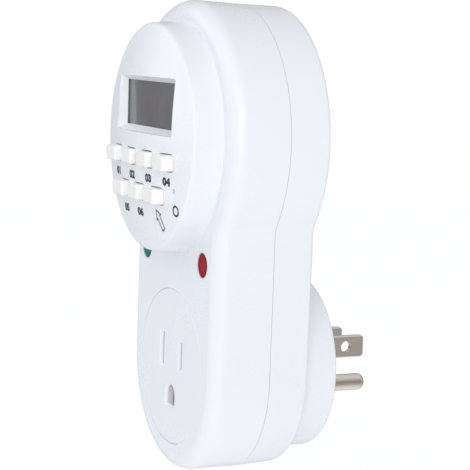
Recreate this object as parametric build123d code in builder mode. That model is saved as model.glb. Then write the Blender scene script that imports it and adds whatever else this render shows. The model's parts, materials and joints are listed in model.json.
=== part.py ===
from build123d import *
import os
from math import cos, radians, sin, sqrt, tan

# Plug-in timer switch. Millimetres. X runs to the right of someone facing it, Y towards
# the wall, Z up. The origin is on the face that meets the wall, midway between the blades.

os.makedirs("parts", exist_ok=True)

# Casing
case_depth = 28.0
front_depth = 16.3
plug_base_length = 10.85
plug_base_radius = 24.0
head_end_radius = 36.1
head_end_front_radius = 36.8
head_end_rear_radius = 35.9
head_z = 58.55
foot_half_width = 28.75
foot_front_half_width = 28.6
foot_rear_half_width = 28.25
foot_z = -3.75
outlet_z = -4.15
neck_radius = 6.0
wall = 2.0
front_edge_radius = 4.0
rear_edge_radius = 1.2
plug_edge_radius = 0.8
seam_gap = 0.12
lip_height = 2.0
lip_thickness = 0.85
lip_clearance = 0.15
fit_gap = 0.3
boss_root = 0.5
pick_band = 0.01

# Casing screws
case_screw_points = [(-22.8, 17.0), (22.8, 17.0), (-23.5, 77.5), (23.5, 77.5)]
case_screw_radius = 1.25
case_screw_head_radius = 2.5
case_screw_head_height = 1.8
case_screw_seat = 7.2
case_screw_grip = 8.0
case_screw_clearance = 0.35
recess_length_ratio = 1.2
recess_width_ratio = 0.3
front_boss_radius = 3.2
rear_boss_radius = 4.2

# Timer head. Heights are measured forwards from the casing's front face.
head_base_radius = 30.95
head_rim_radius = 30.25
head_rim_height = 8.15
head_dome_rise = 3.0
head_rim_edge = 1.0
head_wall = 1.6
head_opening_radius = 23.4
cover_screw_ring = 26.3
cover_screw_angles = [60, 120, 240, 300]
cover_screw_radius = 1.0
cover_screw_head_radius = 2.2
cover_screw_head_height = 1.5
cover_screw_grip = 4.0
cover_screw_clearance = 0.3
cover_boss_radius = 2.6

# Display
display_offset = 8.6
display_width = 38.0
display_height = 12.2
display_bevel_rise = 2.2
display_side_bevel = 18.5
display_end_bevel = 32.0
display_corner = 0.3
display_side_rim = 3.0
display_end_rim = 3.0
window_height = 6.15
window_thickness = 1.0
window_margin = 2.0
lcd_gap = 0.1
lcd_width = 40.4
lcd_length = 15.4
lcd_thickness = 1.8
lcd_frame_gap = 0.2
lcd_frame_wall = 1.15
zebra_width = 2.2
zebra_inset = 0.4
zebra_end_gap = 1.0

# Logic board and keypad
board_thickness = 1.6
logic_board_height = 0.3
logic_board_radius = 28.5
keypad_thickness = 1.2
keypad_side_margin = 3.25
keypad_top_margin = 0.8
keypad_bottom_margin = 1.2
keypad_corner = 2.0
dome_height = 1.5
dome_radius = 2.6
dome_skin = 0.9
dome_taper = 15.0
key_travel_gap = 1.2

# Keys
key_pitch = 11.5
upper_row_offset = -5.5
lower_row_offset = -14.6
key_width = 7.5
key_height = 4.4
key_tip_height = 12.7
key_draft = 2.0
key_corner = 1.1
key_edge = 0.6
key_slot_gap = 0.15
flange_margin = 0.7
flange_thickness = 1.1

# Reset plunger in its pinhole
reset_spacing = 3.55
reset_offset = -12.5
reset_hole_radius = 0.75
reset_tip_radius = 0.45
reset_plate_radius = 1.6
reset_plate_thickness = 1.2
reset_tip_height = 8.35
reset_switch_size = 3.4
reset_switch_height = 2.0
reset_switch_clearance = 0.5
reset_gap = 0.8

# Parts behind the logic board
chip_radius = 6.0
chip_height = 1.5
chip_dome = 1.2
chip_point = (-7.0, -8.0)
crystal_radius = 1.0
crystal_length = 6.0
crystal_chamfer = 0.2
crystal_point = (-14.0, 6.0)
battery_radius = 7.75
battery_thickness = 5.4
battery_edge = 0.8
battery_point = (10.0, -0.5)

# Indicator lenses and their lamps
lens_x = 19.5
lens_z = 26.4
lens_radius = 3.3
lens_gap = 0.06
lens_flange_radius = 4.3
lens_flange_thickness = 1.0
lens_recess = 0.15
lens_edge = 0.4
lamp_radius = 1.5
lamp_length = 4.2
lamp_dome = 1.35
lamp_rim_radius = 1.9
lamp_rim_thickness = 1.0
lamp_gap = 0.4
lead_radius = 0.25
lead_pitch = 2.54

# Outlet: a North American grounded outlet
socket_line_drop = 0.4
insert_radius = 21.3
insert_gap = 0.08
insert_plate = 2.5
insert_wall = 1.8
insert_depth = 13.0
insert_flange_radius = 24.0
insert_flange_thickness = 1.6
insert_edge = 0.3
blade_spacing = 12.7
ground_drop = 11.9
slot_width = 2.0
line_slot_height = 7.2
neutral_slot_height = 9.0
slot_bevel = 0.7
ground_hole_width = 5.8
ground_hole_height = 5.6
ground_hole_arch = 2.6
contact_retainer_thickness = 2.0
contact_retainer_inset = 0.6
contact_screw_spread = 15.0
contact_screw_radius = 1.0
contact_screw_head_radius = 2.1
contact_screw_head_height = 1.4
contact_screw_grip = 5.0
contact_boss_radius = 2.6
post_ring = 22.9
post_radius = 1.35
post_angles = [45, 135, 225, 315]

# Outlet contacts
strip_thickness = 0.6
contact_throat = 1.3
contact_height = 5.6
contact_front_gap = 0.4
contact_length = 16.0
contact_slot_gap = 0.3
tail_length = 5.0
tail_overlap = 3.0
ground_contact_bore = 2.42
ground_contact_length = 9.6
ground_contact_split = 1.4
strap_thickness = 0.8
strap_width = 5.0
strap_hole_gap = 0.05
strap_head_side = 0.5
strap_head_top = 1.5

# Plug
plug_plate = 3.0
blade_thickness = 1.52
blade_width = 6.35
blade_length = 17.35
blade_hole_radius = 1.6
blade_hole_distance = 11.7
blade_tip_round = 1.3
blade_tip_bevel = 0.38
blade_shoulder_width = 9.4
blade_tab_length = 11.5
ground_pin_radius = 2.38
ground_pin_length = 21.4
ground_pin_tip_round = 1.9
ground_pin_collar_radius = 2.6
ground_pin_flange_radius = 3.6
ground_pin_shank_radius = 2.0
pin_rivet_height = 0.6
shoulder_depth = 3.0
plug_slot_gap = 0.05
retainer_radius = 19.5
retainer_thickness = 2.0
retainer_screw_spread = 14.0
retainer_screw_radius = 1.1
retainer_screw_head_radius = 2.2
retainer_screw_head_height = 1.5
retainer_screw_grip = 4.6
retainer_boss_radius = 2.8

# Power board
power_board_width = 44.0
power_board_bottom = 22.0
power_board_top = 72.5
power_board_standoff = 3.05
power_board_corner = 1.5
board_screw_points = [(-12.0, 26.0), (12.0, 26.0), (-18.6, 69.0), (18.6, 69.0)]
board_screw_radius = 1.0
board_screw_head_radius = 2.0
board_screw_head_height = 1.4
board_screw_grip = 2.6
board_post_radius = 2.2

# Relay
relay_x = -12.0
relay_z = 46.0
relay_width = 15.4
relay_length = 19.0
relay_height = 15.4
relay_wall = 0.8
relay_edge = 0.8
relay_base_gap = 0.1
relay_base_thickness = 1.5
relay_step = 0.3
coil_offset = -1.2
coil_radius = 4.2
coil_length = 7.0
bobbin_radius = 5.2
bobbin_flange = 0.8
core_radius = 1.6
core_bore_gap = 0.05
core_rise = 0.2
yoke_width = 8.0
yoke_thickness = 1.2
yoke_gap = 0.4
armature_thickness = 1.0
armature_length = 16.0
armature_overhang = 0.4
armature_clearance = 0.3
core_gap = 0.75
contact_button_radius = 1.1
contact_button_height = 0.5
contact_stroke = 1.15
fixed_contact_width = 3.0
fixed_contact_thickness = 0.9
contact_button_inset = 0.4

# Other board components
film_capacitor_size = (7.5, 18.0, 12.0)
film_capacitor_point = (16.2, 46.0)
film_capacitor_edge = 0.8
filter_capacitor_radius = 4.0
filter_capacitor_length = 11.5
filter_capacitor_edge = 0.4
filter_capacitor_point = (5.0, 62.5)
varistor_radius = 5.0
varistor_thickness = 3.6
varistor_lift = 1.0
varistor_edge = 1.26
varistor_lead_radius = 0.35
varistor_point = (4.0, 44.0)
fuse_radius = 2.4
fuse_length = 10.0
fuse_cap_length = 2.2
fuse_body_radius = 2.1
fuse_shift = 1.0
fuse_gap = 2.5
diode_radius = 1.3
diode_length = 4.6
diode_points = [(12.8, 57.8), (12.8, 61.2), (12.8, 64.6), (12.8, 68.0)]
transistor_radius = 2.3
transistor_height = 4.6
transistor_flat = 1.4
transistor_lift = 1.5
transistor_lead_pitch = 1.27
transistor_point = (-4.0, 60.5)
resistor_radius = 1.6
resistor_length = 9.0
resistor_edge = 0.64
resistor_point = (8.6, 34.5)

# Wires and ribbon
wire_radius = 0.9
wire_bend = 2.5
wire_landing = 7.0
wire_rise = 6.5
tab_wire_inset = 1.2
load_shift = 3.0
load_landing = 1.0
ribbon_width = 12.0
ribbon_thickness = 0.9
ribbon_bow = 3.0
ribbon_offset = 2.75

# Places that follow from the sizes above
face_y = -(plug_base_length + case_depth)
rear_y = -plug_base_length
seam_y = face_y + front_depth
front_rim_y = seam_y - seam_gap / 2
rear_rim_y = seam_y + seam_gap / 2
inner_face_y = face_y + wall
inner_rear_y = rear_y - wall
plug_plate_y = -plug_plate
blade_x = blade_spacing / 2
socket_z = -socket_line_drop
socket_ground_z = socket_z - ground_drop
power_rear_y = inner_rear_y - power_board_standoff
power_front_y = power_rear_y - board_thickness
logic_front = logic_board_height + board_thickness
display_z = head_z + display_offset
reset_x = 1.5 * key_pitch + reset_spacing
keypad_width = 3 * key_pitch + 2 * keypad_side_margin
fuse_point = (relay_x + fuse_shift, relay_z + relay_length / 2 + fuse_gap + fuse_length / 2)


def across(y):
    # Plane across the depth at y. Sketch x is X and sketch y is Z; it extrudes forwards, to -Y.
    return Plane.XZ.offset(-y)


def ahead(height):
    # The same plane, at a height in front of the casing's front face
    return across(face_y - height)


def save(piece, name):
    piece.part.label = name
    export_step(piece.part, f"parts/{name}.step")


def case_profile(sketch, y, inset):
    # The casing's outline at y, inset inwards: round head end, straight sides, round foot
    # and a concave fillet at each neck. Its sizes run evenly from the parting line to each end.
    if y < seam_y:
        share = (seam_y - y) / front_depth
        end_radius, end_half_width = head_end_front_radius, foot_front_half_width
    else:
        share = (y - seam_y) / (case_depth - front_depth)
        end_radius, end_half_width = head_end_rear_radius, foot_rear_half_width
    radius = head_end_radius + (end_radius - head_end_radius) * share - inset
    half_width = foot_half_width + (end_half_width - foot_half_width) * share - inset
    with Locations((0, head_z)):
        Circle(radius)
    with Locations((0, (head_z + foot_z) / 2)):
        Rectangle(2 * half_width, head_z - foot_z)
    with Locations((0, foot_z)):
        Circle(half_width)
    neck_z = head_z - sqrt(radius**2 - half_width**2)
    necks = sketch.vertices().filter_by_position(Axis.Y, neck_z - pick_band, neck_z + pick_band)
    fillet(necks, neck_radius + inset)


def ring_points(radius, angles, centre_z):
    return [(radius * cos(radians(a)), centre_z + radius * sin(radians(a))) for a in angles]


cover_screw_points = ring_points(cover_screw_ring, cover_screw_angles, head_z)
post_points = ring_points(post_ring, post_angles, outlet_z)


# Front housing: a shell with the outlet opening, the head opening and lens holes
with BuildPart() as front_housing:
    for y in (front_rim_y, face_y):
        with BuildSketch(across(y)) as front_outline:
            case_profile(front_outline, y, 0)
    loft(ruled=True)
    fillet(front_housing.faces().sort_by(Axis.Y)[0].edges(), front_edge_radius)
    for y in (front_rim_y, inner_face_y):
        with BuildSketch(across(y)) as front_hollow:
            case_profile(front_hollow, y, wall)
    loft(ruled=True, mode=Mode.SUBTRACT)
    inner_face = front_housing.faces().filter_by_position(
        Axis.Y, inner_face_y - pick_band, inner_face_y + pick_band)
    fillet(inner_face.edges(), front_edge_radius - wall)
    with BuildSketch(across(front_rim_y)) as lip_relief:
        case_profile(lip_relief, front_rim_y, wall - lip_thickness - lip_clearance)
    extrude(amount=lip_height + fit_gap, mode=Mode.SUBTRACT)
    with BuildSketch(across(front_rim_y)):
        with Locations(*case_screw_points):
            Circle(front_boss_radius)
    extrude(amount=front_rim_y - inner_face_y + boss_root)
    with Locations(*[Plane((x, front_rim_y, z), z_dir=(0, 1, 0)) for x, z in case_screw_points]):
        Hole(case_screw_radius, case_screw_grip + fit_gap)
    with BuildSketch(across(inner_face_y)):
        with Locations((0, outlet_z)):
            Circle(insert_radius + insert_gap)
        with Locations((0, head_z)):
            Circle(head_opening_radius)
        with Locations((-lens_x, lens_z), (lens_x, lens_z)):
            Circle(lens_radius + lens_gap)
        with Locations(*cover_screw_points):
            Circle(cover_screw_radius + cover_screw_clearance)
    extrude(amount=wall, mode=Mode.SUBTRACT)
save(front_housing, "front_housing")


# Rear housing: a shell with the round plug base, posts and screw bosses
with BuildPart() as rear_housing:
    for y in (rear_y, rear_rim_y):
        with BuildSketch(across(y)) as rear_outline:
            case_profile(rear_outline, y, 0)
    loft(ruled=True)
    fillet(rear_housing.faces().sort_by(Axis.Y)[-1].edges(), rear_edge_radius)
    for y in (inner_rear_y, rear_rim_y):
        with BuildSketch(across(y)) as rear_hollow:
            case_profile(rear_hollow, y, wall)
    loft(ruled=True, mode=Mode.SUBTRACT)
    with BuildSketch(across(rear_rim_y)) as lip_outside:
        case_profile(lip_outside, rear_rim_y, wall - lip_thickness)
    extrude(amount=lip_height)
    with BuildSketch(across(rear_rim_y)) as lip_inside:
        case_profile(lip_inside, rear_rim_y, wall)
    extrude(amount=lip_height, mode=Mode.SUBTRACT)
    with BuildSketch(across(0)):
        with Locations((0, outlet_z)):
            Circle(plug_base_radius)
    extrude(amount=-inner_rear_y)
    fillet(rear_housing.faces().sort_by(Axis.Y)[-1].edges(), plug_edge_radius)
    with BuildSketch(across(plug_plate_y)):
        with Locations((0, outlet_z)):
            Circle(plug_base_radius - wall)
    extrude(amount=plug_plate_y - inner_rear_y, mode=Mode.SUBTRACT)
    with BuildSketch(across(plug_plate_y)):
        with Locations((-retainer_screw_spread, outlet_z), (retainer_screw_spread, outlet_z)):
            Circle(retainer_boss_radius)
    extrude(amount=shoulder_depth)
    with BuildSketch(across(inner_rear_y + boss_root)):
        with Locations(*case_screw_points):
            Circle(rear_boss_radius)
    extrude(amount=inner_rear_y + boss_root - rear_rim_y)
    with BuildSketch(across(inner_rear_y + boss_root)):
        with Locations(*board_screw_points):
            Circle(board_post_radius)
    extrude(amount=power_board_standoff + boss_root)
    with BuildSketch(across(inner_rear_y + boss_root)):
        with Locations(*post_points):
            Circle(post_radius)
    extrude(amount=inner_rear_y + boss_root - inner_face_y - insert_flange_thickness)
    with Locations(*[Plane((x, rear_y, z), z_dir=(0, 1, 0)) for x, z in case_screw_points]):
        CounterBoreHole(
            case_screw_radius + case_screw_clearance,
            case_screw_head_radius + case_screw_clearance,
            case_screw_seat,
            case_depth - front_depth,
        )
    with Locations(*[Plane((x, power_rear_y, z), z_dir=(0, -1, 0)) for x, z in board_screw_points]):
        Hole(board_screw_radius, board_screw_grip + fit_gap)
    for x in (-retainer_screw_spread, retainer_screw_spread):
        with Locations(Plane((x, plug_plate_y - shoulder_depth, outlet_z), z_dir=(0, -1, 0))):
            Hole(retainer_screw_radius, retainer_screw_grip + fit_gap - retainer_thickness)
    with BuildSketch(across(0)):
        with Locations((-blade_x, 0), (blade_x, 0)):
            Rectangle(blade_thickness + 2 * plug_slot_gap, blade_width + 2 * plug_slot_gap)
        with Locations((0, -ground_drop)):
            Circle(ground_pin_collar_radius + plug_slot_gap)
    extrude(amount=plug_plate, mode=Mode.SUBTRACT)
save(rear_housing, "rear_housing")


def screws(points, seat_y, radius, length, head_radius, head_height, towards):
    # Pan-head screws whose heads seat at seat_y; towards is +1 for shanks that run to the wall
    with BuildPart() as group:
        for x, z in points:
            with BuildSketch(Plane((x, seat_y, z), z_dir=(0, towards, 0))):
                Circle(radius)
            extrude(amount=length)
            with BuildSketch(Plane((x, seat_y, z), z_dir=(0, -towards, 0))):
                Circle(head_radius)
            extrude(amount=head_height)
            top_y = seat_y - towards * head_height
            top = group.faces().filter_by_position(Axis.Y, top_y - pick_band, top_y + pick_band)
            top = top.filter_by_position(Axis.X, x - pick_band, x + pick_band)
            top = top.filter_by_position(Axis.Z, z - pick_band, z + pick_band)
            fillet(top.edges(), head_height / 3)
            with BuildSketch(Plane((x, top_y, z), z_dir=(0, -towards, 0))):
                Rectangle(head_radius * recess_length_ratio, head_radius * recess_width_ratio)
                Rectangle(head_radius * recess_width_ratio, head_radius * recess_length_ratio)
            extrude(amount=-head_height / 2, mode=Mode.SUBTRACT)
    return group


case_seat_y = rear_y - case_screw_seat
case_screws = screws(case_screw_points, case_seat_y, case_screw_radius,
                     case_seat_y - front_rim_y + case_screw_grip,
                     case_screw_head_radius, case_screw_head_height, -1)
save(case_screws, "case_screws")

cover_screws = screws(cover_screw_points, inner_face_y, cover_screw_radius,
                      wall + logic_front + cover_screw_grip,
                      cover_screw_head_radius, cover_screw_head_height, -1)
save(cover_screws, "cover_screws")

board_screws = screws(board_screw_points, power_front_y, board_screw_radius,
                      board_thickness + board_screw_grip,
                      board_screw_head_radius, board_screw_head_height, 1)
save(board_screws, "board_screws")


# Timer head cover: a shallow dome on a slightly tapered wall, turned about its own axis
head_axis = Axis((0, 0, head_z), (0, 1, 0))
dome_curve_radius = (head_rim_radius**2 + head_dome_rise**2) / (2 * head_dome_rise)


def head_profile(thickness, edge_radius):
    # Half section inside the outer skin by thickness: axis, dome, rounded rim and base
    taper = (head_base_radius - head_rim_radius) / head_rim_height
    rim = head_rim_radius - thickness * (1 - taper)
    base = head_base_radius - thickness
    curve = dome_curve_radius - thickness
    centre_y = face_y - head_rim_height - head_dome_rise + dome_curve_radius
    rim_y = centre_y - sqrt(curve**2 - rim**2)
    apex_y = centre_y - curve
    middle = (rim / 2, centre_y - sqrt(curve**2 - (rim / 2) ** 2))
    with BuildSketch(Plane((0, 0, head_z), x_dir=(1, 0, 0), z_dir=(0, 0, 1))) as section:
        with BuildLine():
            Polyline((0, apex_y), (0, face_y), (base, face_y), (rim, rim_y))
            ThreePointArc((rim, rim_y), middle, (0, apex_y))
        make_face()
        if edge_radius:
            rims = section.vertices().filter_by_position(Axis.Y, rim_y - pick_band, rim_y + pick_band)
            fillet(rims, edge_radius)
    return section.sketch


with BuildPart() as head_hollow:
    revolve(head_profile(head_wall, 0), axis=head_axis)
    with BuildSketch(ahead(window_height + window_thickness)):
        with Locations((0, display_z)):
            Rectangle(display_width + 2 * display_side_rim, display_height + 2 * display_end_rim)
    extrude(amount=head_dome_rise + head_rim_height, mode=Mode.SUBTRACT)
    with BuildSketch(ahead(logic_front)):
        with Locations(*cover_screw_points):
            Circle(cover_boss_radius)
    extrude(amount=head_dome_rise + head_rim_height, mode=Mode.SUBTRACT)

upper_keys = [(column * key_pitch, head_z + upper_row_offset) for column in (-1.5, -0.5, 0.5, 1.5)]
lower_keys = [(column * key_pitch, head_z + lower_row_offset) for column in (-1, 0, 1)]
key_points = upper_keys + lower_keys
reset_z = head_z + reset_offset
head_clear = head_rim_height + head_dome_rise + 1


def display_outline(rise):
    # Opening for the display at a rise above the window, wider there by the slope of its sides
    with BuildSketch(ahead(window_height + window_thickness + rise)) as opening:
        with Locations((0, display_z)):
            RectangleRounded(display_width + 2 * rise * tan(radians(display_side_bevel)),
                             display_height + 2 * rise * tan(radians(display_end_bevel)),
                             display_corner)
    return opening.sketch


with BuildPart() as head_cover:
    revolve(head_profile(0, head_rim_edge), axis=head_axis)
    add(head_hollow.part, mode=Mode.SUBTRACT)
    loft([display_outline(0), display_outline(display_bevel_rise)], mode=Mode.SUBTRACT)
    extrude(display_outline(display_bevel_rise), amount=head_clear, mode=Mode.SUBTRACT)
    with BuildSketch(ahead(logic_front)):
        with Locations(*key_points):
            RectangleRounded(key_width + 2 * key_slot_gap, key_height + 2 * key_slot_gap,
                             key_corner + key_slot_gap)
        with Locations((reset_x, reset_z)):
            Circle(reset_hole_radius)
    extrude(amount=head_clear, mode=Mode.SUBTRACT)
    with Locations(*[Plane((x, face_y - logic_front, z), z_dir=(0, 1, 0))
                     for x, z in cover_screw_points]):
        Hole(cover_screw_radius, cover_screw_grip + fit_gap)
save(head_cover, "head_cover")


# Display: clear window, liquid crystal panel, its frame and the two rubber connectors
with BuildPart(ahead(window_height)) as lcd_window:
    with Locations((0, display_z)):
        Box(display_width + 2 * window_margin, display_height + 2 * window_margin, window_thickness,
            align=(Align.CENTER, Align.CENTER, Align.MIN))
save(lcd_window, "lcd_window")

lcd_base = window_height - lcd_gap - lcd_thickness
with BuildPart(ahead(lcd_base)) as lcd_panel:
    with Locations((0, display_z)):
        Box(lcd_width, lcd_length, lcd_thickness, align=(Align.CENTER, Align.CENTER, Align.MIN))
save(lcd_panel, "lcd_panel")

with BuildPart() as lcd_frame:
    bore_width = lcd_width + 2 * lcd_frame_gap
    bore_length = lcd_length + 2 * lcd_frame_gap
    with BuildSketch(ahead(logic_front)):
        with Locations((0, display_z)):
            RectangleRounded(bore_width + 2 * lcd_frame_wall, bore_length + 2 * lcd_frame_wall,
                             lcd_frame_wall)
            Rectangle(bore_width, bore_length, mode=Mode.SUBTRACT)
    extrude(amount=window_height - lcd_gap - logic_front)
save(lcd_frame, "lcd_frame")

with BuildPart(ahead(logic_front)) as zebra_strips:
    zebra_shift = lcd_length / 2 - zebra_inset - zebra_width / 2
    with Locations((0, display_z - zebra_shift), (0, display_z + zebra_shift)):
        Box(lcd_width - 2 * zebra_end_gap, zebra_width, lcd_base - logic_front,
            align=(Align.CENTER, Align.CENTER, Align.MIN))
save(zebra_strips, "zebra_strips")


# Logic board, clamped between the housing and the head cover's bosses
with BuildPart() as logic_board:
    with BuildSketch(ahead(logic_board_height)):
        with Locations((0, head_z)):
            Circle(logic_board_radius)
        with Locations(*cover_screw_points):
            Circle(cover_screw_radius + cover_screw_clearance, mode=Mode.SUBTRACT)
    extrude(amount=board_thickness)
save(logic_board, "logic_board")

with BuildPart() as keypad:
    keypad_bottom = head_z + lower_row_offset - dome_radius - keypad_bottom_margin
    keypad_top = head_z + upper_row_offset + dome_radius + keypad_top_margin
    with BuildSketch(ahead(logic_front)):
        with Locations((0, (keypad_bottom + keypad_top) / 2)):
            RectangleRounded(keypad_width, keypad_top - keypad_bottom, keypad_corner)
        with Locations((reset_x, reset_z)):
            Rectangle(reset_switch_size + 2 * reset_switch_clearance,
                      reset_switch_size + 2 * reset_switch_clearance, mode=Mode.SUBTRACT)
    extrude(amount=keypad_thickness)
    with BuildSketch(ahead(logic_front + keypad_thickness)):
        with Locations(*key_points):
            Circle(dome_radius)
    extrude(amount=dome_height, taper=dome_taper)
    with BuildSketch(ahead(logic_front)):
        with Locations(*key_points):
            Circle(dome_radius - dome_skin)
    extrude(amount=keypad_thickness + dome_height / 2, mode=Mode.SUBTRACT)
save(keypad, "keypad")


# Keys: a rounded bar on a wider flange that stays under the cover
flange_height = logic_front + keypad_thickness + dome_height + key_travel_gap
key_names = [
    "week_key", "hour_key", "minute_key", "second_key",
    "clock_key", "program_key", "manual_key",
]
for key_name, key_point in zip(key_names, key_points):
    with BuildPart() as key:
        with BuildSketch(ahead(flange_height)):
            with Locations(key_point):
                RectangleRounded(key_width + 2 * flange_margin, key_height + 2 * flange_margin, key_corner)
        extrude(amount=flange_thickness)
        with BuildSketch(ahead(flange_height + flange_thickness)):
            with Locations(key_point):
                RectangleRounded(key_width, key_height, key_corner)
        extrude(amount=key_tip_height - flange_height - flange_thickness, taper=key_draft)
        fillet(key.faces().sort_by(Axis.Y)[0].edges(), key_edge)
    save(key, key_name)

with BuildPart(ahead(logic_front)) as reset_switch:
    with Locations((reset_x, reset_z)):
        Box(reset_switch_size, reset_switch_size, reset_switch_height,
            align=(Align.CENTER, Align.CENTER, Align.MIN))
save(reset_switch, "reset_switch")

reset_base = logic_front + reset_switch_height + reset_gap
with BuildPart() as reset_button:
    with BuildSketch(ahead(reset_base)):
        with Locations((reset_x, reset_z)):
            Circle(reset_plate_radius)
    extrude(amount=reset_plate_thickness)
    with BuildSketch(ahead(reset_base + reset_plate_thickness)):
        with Locations((reset_x, reset_z)):
            Circle(reset_tip_radius)
    extrude(amount=reset_tip_height - reset_base - reset_plate_thickness)
save(reset_button, "reset_button")


# Behind the logic board: chip under its resin drop, watch crystal and reserve battery
with BuildPart() as controller_chip:
    with BuildSketch(Plane((chip_point[0], face_y - logic_board_height, head_z + chip_point[1]),
                           z_dir=(0, 1, 0))):
        Circle(chip_radius)
    extrude(amount=chip_height)
    fillet(controller_chip.faces().sort_by(Axis.Y)[-1].edges(), chip_dome)
save(controller_chip, "controller_chip")

with BuildPart() as crystal:
    with BuildSketch(Plane((crystal_point[0] - crystal_length / 2,
                            face_y - logic_board_height + crystal_radius,
                            head_z + crystal_point[1]), z_dir=(1, 0, 0))):
        Circle(crystal_radius)
    extrude(amount=crystal_length)
    chamfer(crystal.faces().filter_by(Axis.X).edges(), crystal_chamfer)
save(crystal, "crystal")

with BuildPart() as backup_battery:
    with BuildSketch(Plane((battery_point[0], face_y - logic_board_height, head_z + battery_point[1]),
                           z_dir=(0, 1, 0))):
        Circle(battery_radius)
    extrude(amount=battery_thickness)
    fillet(backup_battery.faces().sort_by(Axis.Y)[-1].edges(), battery_edge)
save(backup_battery, "backup_battery")


# Indicators: a flanged lens in each hole, with a lamp on long leads behind it
for colour, x in (("green", -lens_x), ("red", lens_x)):
    with BuildPart() as lens:
        with BuildSketch(across(inner_face_y + lens_flange_thickness)):
            with Locations((x, lens_z)):
                Circle(lens_flange_radius)
        extrude(amount=lens_flange_thickness)
        with BuildSketch(across(inner_face_y)):
            with Locations((x, lens_z)):
                Circle(lens_radius)
        extrude(amount=wall - lens_recess)
        fillet(lens.faces().sort_by(Axis.Y)[0].edges(), lens_edge)
    save(lens, f"{colour}_lens")

    lamp_front_y = inner_face_y + lens_flange_thickness + lamp_gap
    lamp_rear_y = lamp_front_y + lamp_length
    with BuildPart() as lamp:
        with BuildSketch(across(lamp_rear_y)):
            with Locations((x, lens_z)):
                Circle(lamp_radius)
        extrude(amount=lamp_length)
        fillet(lamp.faces().sort_by(Axis.Y)[0].edges(), lamp_dome)
        with BuildSketch(across(lamp_rear_y)):
            with Locations((x, lens_z)):
                Circle(lamp_rim_radius)
        extrude(amount=lamp_rim_thickness)
        with BuildSketch(across(power_front_y)):
            with Locations((x - lead_pitch / 2, lens_z), (x + lead_pitch / 2, lens_z)):
                Circle(lead_radius)
        extrude(amount=power_front_y - lamp_rear_y)
    save(lamp, f"{colour}_lamp")


# Outlet insert: slotted face plate, round skirt, clamping flange and two screw bosses
insert_rear_y = face_y + insert_depth
with BuildPart() as socket_insert:
    with BuildSketch(across(insert_rear_y)):
        with Locations((0, outlet_z)):
            Circle(insert_radius)
    extrude(amount=insert_depth)
    with BuildSketch(across(inner_face_y + insert_flange_thickness)):
        with Locations((0, outlet_z)):
            Circle(insert_flange_radius)
    extrude(amount=insert_flange_thickness)
    fillet(socket_insert.faces().sort_by(Axis.Y)[0].edges(), insert_edge)
    with BuildSketch(across(insert_rear_y)):
        with Locations((0, outlet_z)):
            Circle(insert_radius - insert_wall)
    extrude(amount=insert_depth - insert_plate, mode=Mode.SUBTRACT)
    with BuildSketch(across(insert_rear_y)):
        with Locations((-contact_screw_spread, outlet_z), (contact_screw_spread, outlet_z)):
            Circle(contact_boss_radius)
    extrude(amount=insert_depth - insert_plate / 2)
    for side in (-1, 1):
        with Locations(Plane((side * contact_screw_spread, insert_rear_y, outlet_z), z_dir=(0, 1, 0))):
            Hole(contact_screw_radius, contact_screw_grip + fit_gap)
    with BuildSketch(across(face_y + insert_plate)) as socket_slots:
        with Locations((-blade_x, socket_z)):
            Rectangle(slot_width, neutral_slot_height)
        with Locations((blade_x, socket_z)):
            Rectangle(slot_width, line_slot_height)
        with Locations((0, socket_ground_z)):
            ground_hole = Rectangle(ground_hole_width, ground_hole_height)
        fillet(ground_hole.vertices().group_by(Axis.Y)[-1], ground_hole_arch)
    extrude(amount=insert_plate, mode=Mode.SUBTRACT)
    mouth = socket_insert.faces().sort_by(Axis.Y)[0]
    chamfer([edge for wire in mouth.inner_wires() for edge in wire.edges()], slot_bevel)
save(socket_insert, "socket_insert")


# Retainer behind the outlet contacts, with a slot for each leaf and holes for the ground pin
with BuildPart() as contact_retainer:
    with BuildSketch(across(insert_rear_y + contact_retainer_thickness)):
        with Locations((0, outlet_z)):
            Circle(insert_radius - contact_retainer_inset)
        for x in (-blade_x, blade_x):
            with Locations((x, socket_z)):
                Rectangle(contact_throat + 2 * strip_thickness + 2 * contact_slot_gap,
                          contact_height + 2 * contact_slot_gap, mode=Mode.SUBTRACT)
        with Locations((0, socket_ground_z)):
            Circle(ground_pin_radius + fit_gap, mode=Mode.SUBTRACT)
        strap_top_z = socket_ground_z - ground_contact_bore - strip_thickness
        with Locations((0, strap_top_z - strap_thickness / 2)):
            Rectangle(strap_width + 2 * contact_slot_gap, strap_thickness + 2 * contact_slot_gap,
                      mode=Mode.SUBTRACT)
        with Locations((-contact_screw_spread, outlet_z), (contact_screw_spread, outlet_z)):
            Circle(contact_screw_radius + cover_screw_clearance, mode=Mode.SUBTRACT)
    extrude(amount=contact_retainer_thickness)
save(contact_retainer, "contact_retainer")

contact_screws = screws([(-contact_screw_spread, outlet_z), (contact_screw_spread, outlet_z)],
                        insert_rear_y + contact_retainer_thickness, contact_screw_radius,
                        contact_retainer_thickness + contact_screw_grip,
                        contact_screw_head_radius, contact_screw_head_height, -1)
save(contact_screws, "contact_screws")


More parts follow.
